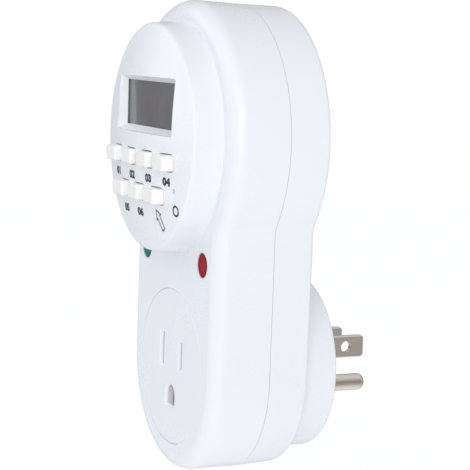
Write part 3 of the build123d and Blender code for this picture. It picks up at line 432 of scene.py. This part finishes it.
def drawnMetal(name, look):
    # plated metal with lines drawn along Y, tarnish in patches and small rubs
    made = Finish(name)
    lines = made.noise(look["lineWidth"], 3, (1, look["lineLength"] / look["lineWidth"], 1))
    broad = made.noise(look["lineWidth"] * 6, 2, (1, look["lineLength"] / look["lineWidth"] / 4, 1))
    tarnish = made.span(made.noise(0.0035, 4), 0.45, 0.70)
    scratch = made.span(made.noise(0.0006, 2, (1, 9, 1)), 0.66, 0.70)
    tint = made.mix(made.span(broad, 0.3, 0.7), look["tint"], look["dull"])
    tint = made.mix(tarnish * 0.35, tint, look["dull"])
    tint = made.mix(scratch * 0.4, tint, tuple(min(1, part * 1.35) for part in look["tint"]))
    rough = look["roughness"] + (lines - 0.5) * 0.22 + tarnish * 0.08 - scratch * 0.06
    return made.close(made.body({
        "Base Color": tint,
        "Metallic": 1.0,
        "Roughness": rough,
        "Normal": made.bump(lines * 0.0000035 + broad * 0.000003 - scratch * 0.000003),
    }))


boardLook = {"mask": (0.020, 0.150, 0.055), "track": (0.035, 0.230, 0.090),
             "pad": (0.62, 0.60, 0.55), "trackPitch": 0.0026}


def circuitBoard(name, look):
    # solder mask over copper tracks, with tinned pads on a grid
    made = Finish(name)
    flat = made.spot((1 / look["trackPitch"], 0.0, 1 / look["trackPitch"]))
    steps = made.node("ShaderNodeTexVoronoi", {"distance": "CHEBYCHEV"},
                      {"Vector": flat, "Scale": 1.0})
    track = made.span(steps, 0.30, 0.34)
    dots = made.node("ShaderNodeTexVoronoi", {}, {"Vector": flat, "Scale": 0.5, "Randomness": 0.6})
    pad = dots < 0.16
    weave = made.node("ShaderNodeTexChecker", {},
                      {"Vector": made.spot((2500, 1, 2500)), "Scale": 1.0}, 1)
    tint = made.mix(track, look["mask"], look["track"])
    tint = made.mix(weave * 0.08, tint, look["track"])
    tint = made.mix(pad, tint, look["pad"])
    return made.close(made.body({
        "Base Color": tint,
        "Metallic": pad * 0.9,
        "Roughness": 0.32 + made.noise(0.004, 2) * 0.1,
        "Normal": made.bump(track * 0.00003 + pad * 0.00008),
        "Coat Weight": 0.3,
    }))


def softRubber(name, tint, roughness, stripes=None):
    # silicone rubber; stripes is the pitch of the conducting layers along X, if it has them
    made = Finish(name)
    dust = made.span(made.noise(0.0012, 4), 0.50, 0.75)
    base = made.mix(dust * 0.35, tint, tuple(min(1, part * 1.4 + 0.02) for part in tint))
    height = made.noise(0.0003, 2) * 0.000004
    if stripes:
        bands = made.node("ShaderNodeTexWave", {"wave_type": "BANDS", "bands_direction": "X"},
                          {"Vector": made.spot((1 / stripes, 1, 1)), "Scale": 0.5}, 1)
        base = made.mix(made.span(bands, 0.45, 0.55), base, (0.42, 0.42, 0.44))
        height = height + bands * 0.00001
    return made.close(made.body({
        "Base Color": base,
        "Roughness": roughness + (dust - 0.5) * 0.1,
        "Normal": made.bump(height),
        "IOR": 1.42,
    }))


def glossSleeve(name, tint, band=None, axis="Z", pitch=0.004):
    # dipped coating, shrink sleeve or case of a component, with plain bands if a band tint is given
    made = Finish(name)
    drift = made.noise(0.003, 3)
    base = made.mix(made.span(drift, 0.3, 0.7), tint, tuple(part * 0.82 for part in tint))
    if band:
        bands = made.node("ShaderNodeTexWave", {"wave_type": "BANDS", "bands_direction": axis},
                          {"Vector": made.spot((1 / pitch,) * 3), "Scale": 0.5}, 1)
        base = made.mix(made.span(bands, 0.86, 0.90), base, band)
    return made.close(made.body({
        "Base Color": base,
        "Roughness": 0.25 + (drift - 0.5) * 0.15,
        "Normal": made.bump(made.noise(0.0009, 2) * 0.00001),
        "Coat Weight": 0.35,
        "Coat Roughness": 0.12,
    }))


def woundWire(name, tint, centre, pitch):
    # enamelled turns round an axis along Y: a groove between every two, darkened with painted shade
    made = Finish(name)
    turnsAndGrooveShade = made.node("ShaderNodeTexWave",
                      {"wave_type": "BANDS", "bands_direction": "Y", "wave_profile": "SIN"},
                      {"Vector": made.spot((1, 1 / pitch, 1), shift=(0, centre, 0)), "Scale": 0.5}, 1)
    # painted shade: the grooves between turns are darkened to a third of the wire's colour
    base = made.mix(turnsAndGrooveShade, tuple(part * 0.35 for part in tint), tint)
    return made.close(made.body({
        "Base Color": base,
        "Metallic": 0.6,
        "Roughness": 0.28 + made.noise(0.0008, 2) * 0.15,
        "Normal": made.bump(turnsAndGrooveShade * 0.00006),
        "Coat Weight": 0.5,
    }))


def wireCover(name, tint):
    # extruded vinyl: fine lines along the wire and a soft gloss
    made = Finish(name)
    fine = made.noise(0.00025, 3)
    scuff = made.span(made.noise(0.002, 4), 0.55, 0.75)
    base = made.mix(scuff * 0.4, tint, tuple(min(1, part * 1.25 + 0.03) for part in tint))
    return made.close(made.body({
        "Base Color": base,
        "Roughness": 0.38 + scuff * 0.12 + (fine - 0.5) * 0.1,
        "Normal": made.bump(fine * 0.000006),
        "IOR": 1.53,
    }))


def flatRibbon(name, tint, edge, pitch):
    # parallel wires side by side, the first one marked; the grooves between the wires are darkened
    # with painted shade
    made = Finish(name)
    x = made.axes()[0]
    ribsAndGrooveShade = made.node("ShaderNodeTexWave", {"wave_type": "BANDS", "bands_direction": "X"},
                     {"Vector": made.spot((1 / pitch, 1, 1)), "Scale": 0.5}, 1)
    # painted shade: the grooves between the wires are darker
    base = made.mix(ribsAndGrooveShade * 0.5, tuple(part * 0.7 for part in tint), tint)
    base = made.mix(x < -0.0050, base, edge)
    return made.close(made.body({
        "Base Color": base,
        "Roughness": 0.42 + made.noise(0.002, 2) * 0.1,
        "Normal": made.bump(ribsAndGrooveShade * 0.0001),
    }))


def bandedResistor(name, tint, centre, length):
    # tan body with four plain rings
    made = Finish(name)
    x = made.axes(shift=(-centre, 0, 0))[0]
    drift = made.span(made.noise(0.001, 3), 0.4, 0.7)
    base = made.mix(drift, tint, tuple(part * 0.85 for part in tint))
    for place, ring in ((-0.30, (0.45, 0.03, 0.02)), (-0.12, (0.25, 0.09, 0.03)),
                        (0.06, (0.03, 0.03, 0.03)), (0.28, (0.62, 0.44, 0.10))):
        near = (x / length - place) * (x / length - place)
        base = made.mix(near < 0.0012, base, ring)
    return made.close(made.body({
        "Base Color": base,
        "Roughness": 0.4 + made.noise(0.0006, 2) * 0.15,
        "Normal": made.bump(made.noise(0.0004, 2) * 0.00001),
    }))


def fuseBody(name, look):
    # ceramic tube with plated caps at both ends along Z
    made = Finish(name)
    z = made.axes(shift=(0, 0, -look["centre"]))[2]
    cap = (z * z) > (look["half"] - look["cap"]) ** 2
    base = made.mix(cap, look["ceramic"], look["plate"])
    speck = made.noise(0.0006, 3)
    return made.close(made.body({
        "Base Color": base,
        "Metallic": cap,
        "Roughness": 0.35 + (speck - 0.5) * 0.2,
        "Normal": made.bump(speck * 0.000004),
    }))


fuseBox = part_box("fuse")
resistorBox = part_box("dropper_resistor")
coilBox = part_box("relay_coil")
fuseLook = {"centre": (fuseBox[0][2] + fuseBox[1][2]) / 2,
            "half": (fuseBox[1][2] - fuseBox[0][2]) / 2,
            "cap": 0.0022, "ceramic": (0.78, 0.77, 0.73), "plate": (0.66, 0.65, 0.63)}

finishes = {
    "white_plastic": mouldedPlastic("whiteCasePlastic", casePlastic),
    "key_plastic": mouldedPlastic("whiteKeyPlastic", keyPlastic, coat=0.15),
    "plated_steel": drawnMetal("zincSteel", zincSteel),
    "window_plastic": clearWindow("clearWindow", clearPlastic),
    "lcd_glass": displayFilm("displayFilm", displayGlass),
    "frame_plastic": mouldedPlastic("framePlastic", framePlastic),
    "connector_rubber": softRubber("layeredRubber", (0.05, 0.05, 0.055), 0.62, stripes=0.0002),
    "board_green": circuitBoard("circuitBoard", boardLook),
    "keypad_rubber": softRubber("keypadRubber", (0.42, 0.44, 0.46), 0.58),
    "black_plastic": mouldedPlastic("blackResin", blackResin),
    "battery_sleeve": glossSleeve("batterySleeve", (0.03, 0.20, 0.08), band=(0.75, 0.75, 0.72),
                                  axis="Y"),
    "green_lens": lampLens("greenLens", lensPlastic["green"], lensPlastic),
    "red_lens": lampLens("redLens", lensPlastic["red"], lensPlastic),
    "lamp_resin": softRubber("lampResin", (0.66, 0.62, 0.56), 0.30),
    "inner_plastic": mouldedPlastic("heatProofPlastic", innerPlastic),
    "contact_brass": drawnMetal("contactCopper", bareBrass),
    "nickel_plate": drawnMetal("nickelPlate", nickelPlate),
    "relay_plastic": glossSleeve("relayBlue", (0.020, 0.090, 0.330)),
    "copper_wire": woundWire("copperTurns", (0.62, 0.22, 0.09), -coilBox[0][1], 0.0003),
    "capacitor_yellow": glossSleeve("capacitorYellow", (0.78, 0.46, 0.03)),
    "varistor_blue": glossSleeve("varistorBlue", (0.03, 0.11, 0.36)),
    "fuse_glass": fuseBody("fuseCeramic", fuseLook),
    "resistor_body": bandedResistor("bandedResistor", (0.58, 0.44, 0.26),
                                    (resistorBox[0][0] + resistorBox[1][0]) / 2,
                                    resistorBox[1][0] - resistorBox[0][0]),
    "wire_black": wireCover("blackWire", (0.020, 0.020, 0.022)),
    "wire_red": wireCover("redWire", (0.40, 0.015, 0.012)),
    "wire_white": wireCover("whiteWire", (0.72, 0.72, 0.70)),
    "ribbon_grey": flatRibbon("ribbonGrey", (0.50, 0.50, 0.51), (0.45, 0.03, 0.02), 0.00127),
}

for subpart in frame["record"]["subparts"]:
    target = nodes[subpart["node"]]
    for place in target.material_slots:
        place.material = finishes[subpart["material_slot"]]
print("finishes on all", len(nodes), "nodes")


# shared mesh helpers

def meshObject(name, mesh, finish):
    piece = bpy.data.objects.new(name, mesh)
    if not mesh.materials:
        mesh.materials.append(finish)
    scene.collection.objects.link(piece)
    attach(piece, "case")
    return piece


# printed marks on the timer head: plain numbers, a pointer and a ring

headDome = {
    "centreZ": 58.55 * mm,
    "rimRadius": 30.25 * mm,
    "rise": 3.0 * mm,
    "apexY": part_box("head_cover")[0][1],
}
printLook = {"ink": (0.010, 0.010, 0.012), "thickness": 0.02 * mm, "lift": 0.004 * mm}
markSetup = {
    # below the keys: text, centre x, centre z, height, width
    "numbers": [
        ("01", -18.1, 48.1, 2.3, 3.9), ("02", -5.1, 48.1, 2.3, 4.3),
        ("03", 6.5, 48.1, 2.3, 3.9), ("04", 17.2, 48.1, 2.3, 4.1),
        ("05", -11.6, 38.5, 2.3, 4.1), ("06", -0.3, 38.5, 2.3, 4.3),
    ],
    "weight": 0.06,     # how far each stroke is thickened
    "pointer": {"tip": (10.4, 40.1), "tail": (13.9, 35.2), "width": 1.5, "head": 2.9,
                "headLength": 2.2, "line": 0.36},
    "ring": {"centre": (21.3, 40.9), "radius": 1.25, "line": 0.52, "steps": 32},
}


def domeY(x, z):
    # the head's outer skin at a place, in metres
    curve = (headDome["rimRadius"] ** 2 + headDome["rise"] ** 2) / (2 * headDome["rise"])
    off = x * x + (z - headDome["centreZ"]) ** 2
    return headDome["apexY"] + curve - sqrt(curve * curve - off)


def inkFinish():
    made = Finish("markInk")
    worn = made.span(made.noise(0.0007, 4), 0.55, 0.75)
    return made.close(made.body({
        "Base Color": made.mix(worn * 0.2, printLook["ink"], (0.05, 0.05, 0.055)),
        "Roughness": 0.42 + worn * 0.15,
        "Normal": made.bump(made.noise(0.0001, 2) * 0.000002),
    }))


def layOnDome(mesh):
    # sketch x and y become X and Z; sketch z becomes height off the dome
    for vertex in mesh.vertices:
        x, z, height = vertex.co.x, vertex.co.y, vertex.co.z
        vertex.co = (x, domeY(x, z) - printLook["lift"] - height, z)
    mesh.update()


def plainMesh(holder):
    # the finished shape of an object as a mesh of its own; the object goes
    mesh = bpy.data.meshes.new_from_object(
        holder.evaluated_get(bpy.context.evaluated_depsgraph_get()))
    bpy.data.objects.remove(holder)
    return mesh


def numberMesh(text, x, z, height, width):
    curve = bpy.data.curves.new("number" + text, "FONT")
    curve.body = text
    curve.align_x = "CENTER"
    curve.align_y = "CENTER"
    curve.extrude = printLook["thickness"] / 2
    curve.offset = markSetup["weight"]
    curve.resolution_u = 3
    holder = bpy.data.objects.new("number" + text, curve)
    scene.collection.objects.link(holder)
    mesh = plainMesh(holder)
    xs = [vertex.co.x for vertex in mesh.vertices]
    ys = [vertex.co.y for vertex in mesh.vertices]
    zs = [vertex.co.z for vertex in mesh.vertices]
    wide = width * mm / (max(xs) - min(xs))
    tall = height * mm / (max(ys) - min(ys))
    midX, midY = (max(xs) + min(xs)) / 2, (max(ys) + min(ys)) / 2
    for vertex in mesh.vertices:
        vertex.co = ((vertex.co.x - midX) * wide + x * mm, (vertex.co.y - midY) * tall + z * mm,
                     vertex.co.z - min(zs))
    return mesh


def outlineMesh(name, points, line):
    # a flat line of even width round a closed run of points, with a thickness
    count = len(points)
    inner, outer = [], []
    area = sum(points[i][0] * points[(i + 1) % count][1] - points[(i + 1) % count][0] * points[i][1]
               for i in range(count))
    way = 1 if area > 0 else -1
    for index in range(count):
        before = Vector(points[index - 1])
        here = Vector(points[index])
        after = Vector(points[(index + 1) % count])
        first = (here - before).normalized()
        second = (after - here).normalized()
        normal = Vector((first.y + second.y, -first.x - second.x)).normalized() * way
        reach = line / 2 / max(0.35, normal.dot(Vector((second.y, -second.x)) * way))
        outer.append(here + normal * reach)
        inner.append(here - normal * reach)
    built = bmesh.new()
    levels = (0.0, printLook["thickness"])
    rings = [[[built.verts.new((p.x, p.y, level)) for p in ring] for level in levels]
             for ring in (outer, inner)]
    for i in range(count):
        j = (i + 1) % count
        (outLow, outHigh), (inLow, inHigh) = rings
        built.faces.new((outHigh[i], outHigh[j], inHigh[j], inHigh[i]))
        built.faces.new((outLow[j], outLow[i], inLow[i], inLow[j]))
        built.faces.new((outLow[i], outLow[j], outHigh[j], outHigh[i]))
        built.faces.new((inLow[j], inLow[i], inHigh[i], inHigh[j]))
    mesh = bpy.data.meshes.new(name)
    built.to_mesh(mesh)
    built.free()
    return mesh


def settleNormals(mesh):
    built = bmesh.new()
    built.from_mesh(mesh)
    bmesh.ops.remove_doubles(built, verts=built.verts, dist=1e-7)
    bmesh.ops.recalc_face_normals(built, faces=built.faces)
    built.to_mesh(mesh)
    built.free()


def printMarks():
    ink = inkFinish()
    for text, x, z, height, width in markSetup["numbers"]:
        mesh = numberMesh(text, x, z, height, width)
        layOnDome(mesh)
        settleNormals(mesh)
        meshObject("number" + text, mesh, ink)

    look = markSetup["pointer"]
    tip, tail = Vector(look["tip"]) * mm, Vector(look["tail"]) * mm
    along = (tip - tail).normalized()
    side = Vector((along.y, -along.x))
    neck = tip - along * look["headLength"] * mm
    half, wing = look["width"] / 2 * mm, look["head"] / 2 * mm
    points = [tail - side * half, neck - side * half, neck - side * wing, tip,
              neck + side * wing, neck + side * half, tail + side * half]
    mesh = outlineMesh("pointerMark", [tuple(p) for p in points], look["line"] * mm)
    layOnDome(mesh)
    settleNormals(mesh)
    meshObject("pointerMark", mesh, ink)

    look = markSetup["ring"]
    points = [((look["centre"][0] + look["radius"] * cos(2 * pi * step / look["steps"])) * mm,
               (look["centre"][1] + look["radius"] * sin(2 * pi * step / look["steps"])) * mm)
              for step in range(look["steps"])]
    mesh = outlineMesh("ringMark", points, look["line"] * mm)
    layOnDome(mesh)
    settleNormals(mesh)
    meshObject("ringMark", mesh, ink)


printMarks()
print("marks printed on the head")


# display segments, faint because the display is off

segmentSetup = {
    "digitXs": (-12.4, -7.6, -1.2, 3.6, 9.4, 13.4),
    "digitHeights": (6.2, 6.2, 6.2, 6.2, 4.4, 4.4),
    "digitWidths": (3.3, 3.3, 3.3, 3.3, 2.5, 2.5),
    "baseZ": 62.9,
    "barWidth": 0.62,
    "gap": 0.16,
    "slant": 0.09,
    "thickness": 0.03 * mm,
    "lift": 0.004 * mm,
    "cornerReach": 1.1547,      # a six-sided bar's corner radius over its half width
    "dayXs": (-14.6, -10.1, -5.6, -1.1, 3.4, 7.9, 12.4),
    "dayZ": 71.0,
    "dayLength": 2.6,
    "tint": (0.026, 0.023, 0.025),
}


def segmentFinish():
    made = Finish("displaySegments")
    cloud = made.noise(0.004, 2)
    return made.close(made.body({
        "Base Color": made.mix(cloud * 0.4, segmentSetup["tint"], displayGlass["tint"]),
        "Roughness": 0.3 + (cloud - 0.5) * 0.08,
        "IOR": 1.5,
        "Specular IOR Level": 0.15,
    }))


def instancePiece(name, points, tree, settings):
    # points carry the attributes that the tree reads; the result is one plain mesh
    mesh = bpy.data.meshes.new(name + "Points")
    mesh.from_pydata([point["place"] for point in points], [], [])
    for key, kind in (("turn", "FLOAT_VECTOR"), ("size", "FLOAT_VECTOR")):
        layer = mesh.attributes.new(key, kind, "POINT")
        for item, point in zip(layer.data, points):
            item.vector = point[key]
    holder = bpy.data.objects.new(name + "Points", mesh)
    scene.collection.objects.link(holder)
    modifier = holder.modifiers.new("build", "NODES")
    modifier.node_group = tree
    sockets = {item.name: item.identifier for item in tree.interface.items_tree
               if item.item_type == "SOCKET"}
    for key, value in settings.items():
        modifier[sockets[key]] = value
    bpy.context.view_layer.update()
    result = plainMesh(holder)
    result.name = name
    return result


def treeWith(name, inputs):
    tree = bpy.data.node_groups.new(name, "GeometryNodeTree")
    tree.interface.new_socket("Geometry", in_out="OUTPUT", socket_type="NodeSocketGeometry")
    tree.interface.new_socket("Geometry", in_out="INPUT", socket_type="NodeSocketGeometry")
    for label, kind, value in inputs:
        socket = tree.interface.new_socket(label, in_out="INPUT", socket_type=kind)
        if value is not None:
            socket.default_value = value
    return tree, tree.nodes.new("NodeGroupInput"), tree.nodes.new("NodeGroupOutput")


def segmentTree():
    # a flat six-sided bar at every point, turned and sized by the point's attributes
    tree, given, result = treeWith("segmentBars", [
        ("Bar Width", "NodeSocketFloat", segmentSetup["barWidth"] * mm),
        ("Thickness", "NodeSocketFloat", segmentSetup["thickness"]),
        ("Finish", "NodeSocketMaterial", None),
    ])
    add = tree.nodes.new
    link = tree.links.new
    bar = add("GeometryNodeMeshCylinder")
    bar.inputs["Vertices"].default_value = 6
    bar.inputs["Radius"].default_value = 1.0
    bar.inputs["Depth"].default_value = 1.0
    stack = add("ShaderNodeCombineXYZ")
    link(given.outputs["Bar Width"], stack.inputs[1])
    link(given.outputs["Thickness"], stack.inputs[2])
    stack.inputs[0].default_value = 1.0
    size = add("GeometryNodeInputNamedAttribute")
    size.data_type = "FLOAT_VECTOR"
    size.inputs["Name"].default_value = "size"
    product = add("ShaderNodeVectorMath")
    product.operation = "MULTIPLY"
    link(size.outputs["Attribute"], product.inputs[0])
    link(stack.outputs[0], product.inputs[1])
    turn = add("GeometryNodeInputNamedAttribute")
    turn.data_type = "FLOAT_VECTOR"
    turn.inputs["Name"].default_value = "turn"
    place = add("GeometryNodeInstanceOnPoints")
    link(given.outputs["Geometry"], place.inputs["Points"])
    link(bar.outputs["Mesh"], place.inputs["Instance"])
    link(turn.outputs["Attribute"], place.inputs["Rotation"])
    link(product.outputs[0], place.inputs["Scale"])
    real = add("GeometryNodeRealizeInstances")
    link(place.outputs["Instances"], real.inputs[0])
    paint = add("GeometryNodeSetMaterial")
    link(real.outputs[0], paint.inputs["Geometry"])
    link(given.outputs["Finish"], paint.inputs["Material"])
    link(paint.outputs[0], result.inputs[0])
    return tree


def displaySegments():
    look = segmentSetup
    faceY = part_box("lcd_panel")[0][1] - look["thickness"] / 2 - look["lift"]
    upright = pi / 2
    points = []

    def bar(x, z, length, slope):
        # length along the bar; the cylinder's axis is turned to face the front
        points.append({"place": (x * mm, faceY, z * mm), "turn": (upright, slope, 0),
                       "size": (length * mm / 2, 0.5 * look["cornerReach"], 1.0)})

    for x, tall, wide in zip(look["digitXs"], look["digitHeights"], look["digitWidths"]):
        gap = look["gap"] + look["barWidth"] / 2
        for level in (0, 1, 2):
            z = look["baseZ"] + tall * level / 2
            bar(x + look["slant"] * tall * level / 2, z, wide - 2 * gap + look["barWidth"] * 0.5, 0.0)
        for half in (0, 1):
            z = look["baseZ"] + tall * (half + 0.5) / 2
            lean = look["slant"] * tall * (half + 0.5) / 2
            for side in (-1, 1):
                bar(x + lean + side * wide / 2, z, tall / 2 - 2 * gap + look["barWidth"] * 0.5,
                    pi / 2 - look["slant"])
    for x in look["dayXs"]:
        bar(x, look["dayZ"], look["dayLength"], 0.0)
    tree = segmentTree()
    finish = segmentFinish()
    mesh = instancePiece("displaySegments", points, tree, {"Finish": finish})
    settleNormals(mesh)
    meshObject("displaySegments", mesh, finish)


displaySegments()
print("display segments laid")


# casing screws, seen down their wells from behind

screwSetup = {
    "headRadius": 2.5 * mm,
    "headHeight": 1.8 * mm,
    "edgeHeight": 0.75 * mm,     # straight part of the pan head
    "crossLength": 1.65 * mm,
    "crossWidth": 0.50 * mm,
    "crossDepth": 1.05 * mm,
    "crossShallow": 0.45,       # how much shallower the cross gets at its ends
    "crossEnd": 0.25 * mm,      # run of the slope at a wing's end, and at its side
    "crossSide": 0.12 * mm,
    "domePower": 2.6,
    "edgeRound": 0.12 * mm,
    "rings": 34,
    "sides": 72,
    "shankRadius": 1.25 * mm,
    "threadPitch": 1.0 * mm,
    "threadDepth": 0.16 * mm,
    "tip": 0.1 * mm,
    "seed": 4,
    "places": [(-22.8, 17.0), (22.8, 17.0), (-23.5, 77.5), (23.5, 77.5)],
}


def screwMesh(look, shankLength):
    # local frame: seat at y 0, head towards +Y, shank towards -Y
    built = bmesh.new()

    def topHeight(radius, angle):
        share = radius / look["headRadius"]
        rise = look["headHeight"] - look["edgeHeight"]
        dome = look["edgeHeight"] + rise * sqrt(max(0.0, 1 - share ** look["domePower"]))
        x, z = radius * cos(angle), radius * sin(angle)
        for along, over in ((x, z), (z, x)):
            inside = min((look["crossLength"] - abs(along)) / look["crossEnd"],
                         (look["crossWidth"] - abs(over)) / look["crossSide"])
            if inside > 0:
                shallow = look["crossShallow"] * radius / look["crossLength"]
                depth = look["crossDepth"] * (1 - shallow)
                dome = min(dome, look["headHeight"] - depth * min(1.0, inside))
        return dome

    def ring(radius, height):
        return [built.verts.new((radius * cos(2 * pi * s / look["sides"]),
                                 height(2 * pi * s / look["sides"]) if callable(height) else height,
                                 radius * sin(2 * pi * s / look["sides"])))
                for s in range(look["sides"])]

    loops = []
    for step in range(1, look["rings"] + 1):
        radius = look["headRadius"] * step / look["rings"]
        loops.append(ring(radius, lambda angle, radius=radius: topHeight(radius, angle)))
    loops.append(ring(look["headRadius"], look["edgeRound"]))
    loops.append(ring(look["headRadius"] - look["edgeRound"], 0.0))
    loops.append(ring(look["shankRadius"], 0.0))
    steps = int(shankLength / look["threadPitch"] * 4)
    for step in range(1, steps + 1):
        y = -shankLength * step / steps
        groove = look["threadDepth"] * (step % 4 in (1, 2))
        loops.append(ring(look["shankRadius"] - groove, y))
    centre = built.verts.new((0, topHeight(0, 0), 0))
    end = built.verts.new((0, -shankLength - look["tip"], 0))
    count = look["sides"]
    for i in range(count):
        built.faces.new((centre, loops[0][(i + 1) % count], loops[0][i]))
        built.faces.new((end, loops[-1][i], loops[-1][(i + 1) % count]))
    for low, high in zip(loops, loops[1:]):
        for i in range(count):
            built.faces.new((low[i], low[(i + 1) % count], high[(i + 1) % count], high[i]))
    bmesh.ops.recalc_face_normals(built, faces=built.faces)
    mesh = bpy.data.meshes.new("screw")
    built.to_mesh(mesh)
    built.free()
    return mesh


def screwTree():
    # one screw at every point, each stopped at its own angle
    tree, given, result = treeWith("screwSet", [
        ("Screw", "NodeSocketObject", None),
        ("Seed", "NodeSocketInt", screwSetup["seed"]),
        ("Finish", "NodeSocketMaterial", None),
    ])
    add = tree.nodes.new
    link = tree.links.new
    source = add("GeometryNodeObjectInfo")
    link(given.outputs["Screw"], source.inputs["Object"])
    angle = add("FunctionNodeRandomValue")
    angle.data_type = "FLOAT"
    angle.inputs["Min"].default_value = 0.0
    angle.inputs[3].default_value = pi / 2
    link(given.outputs["Seed"], angle.inputs["Seed"])
    turn = add("ShaderNodeCombineXYZ")
    link(angle.outputs[1], turn.inputs[1])
    place = add("GeometryNodeInstanceOnPoints")
    link(given.outputs["Geometry"], place.inputs["Points"])
    link(source.outputs["Geometry"], place.inputs["Instance"])
    link(turn.outputs[0], place.inputs["Rotation"])
    real = add("GeometryNodeRealizeInstances")
    link(place.outputs["Instances"], real.inputs[0])
    paint = add("GeometryNodeSetMaterial")
    link(real.outputs[0], paint.inputs["Geometry"])
    link(given.outputs["Finish"], paint.inputs["Material"])
    link(paint.outputs[0], result.inputs[0])
    return tree


def caseScrews():
    low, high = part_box("case_screws")
    seat = high[1] - screwSetup["headHeight"]
    length = seat - low[1]
    sample = bpy.data.objects.new("screwSample", screwMesh(screwSetup, length - screwSetup["tip"]))
    scene.collection.objects.link(sample)
    points = [{"place": (x * mm, seat, z * mm), "turn": (0, 0, 0), "size": (1, 1, 1)}
              for x, z in screwSetup["places"]]
    mesh = instancePiece("caseScrewSet", points, screwTree(),
                         {"Screw": sample, "Finish": finishes["plated_steel"]})
    bpy.data.objects.remove(sample)
    piece = meshObject("caseScrewSet", mesh, finishes["plated_steel"])
    for face in mesh.polygons:
        face.use_smooth = False
    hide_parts("case_screws")


caseScrews()
print("casing screws set")
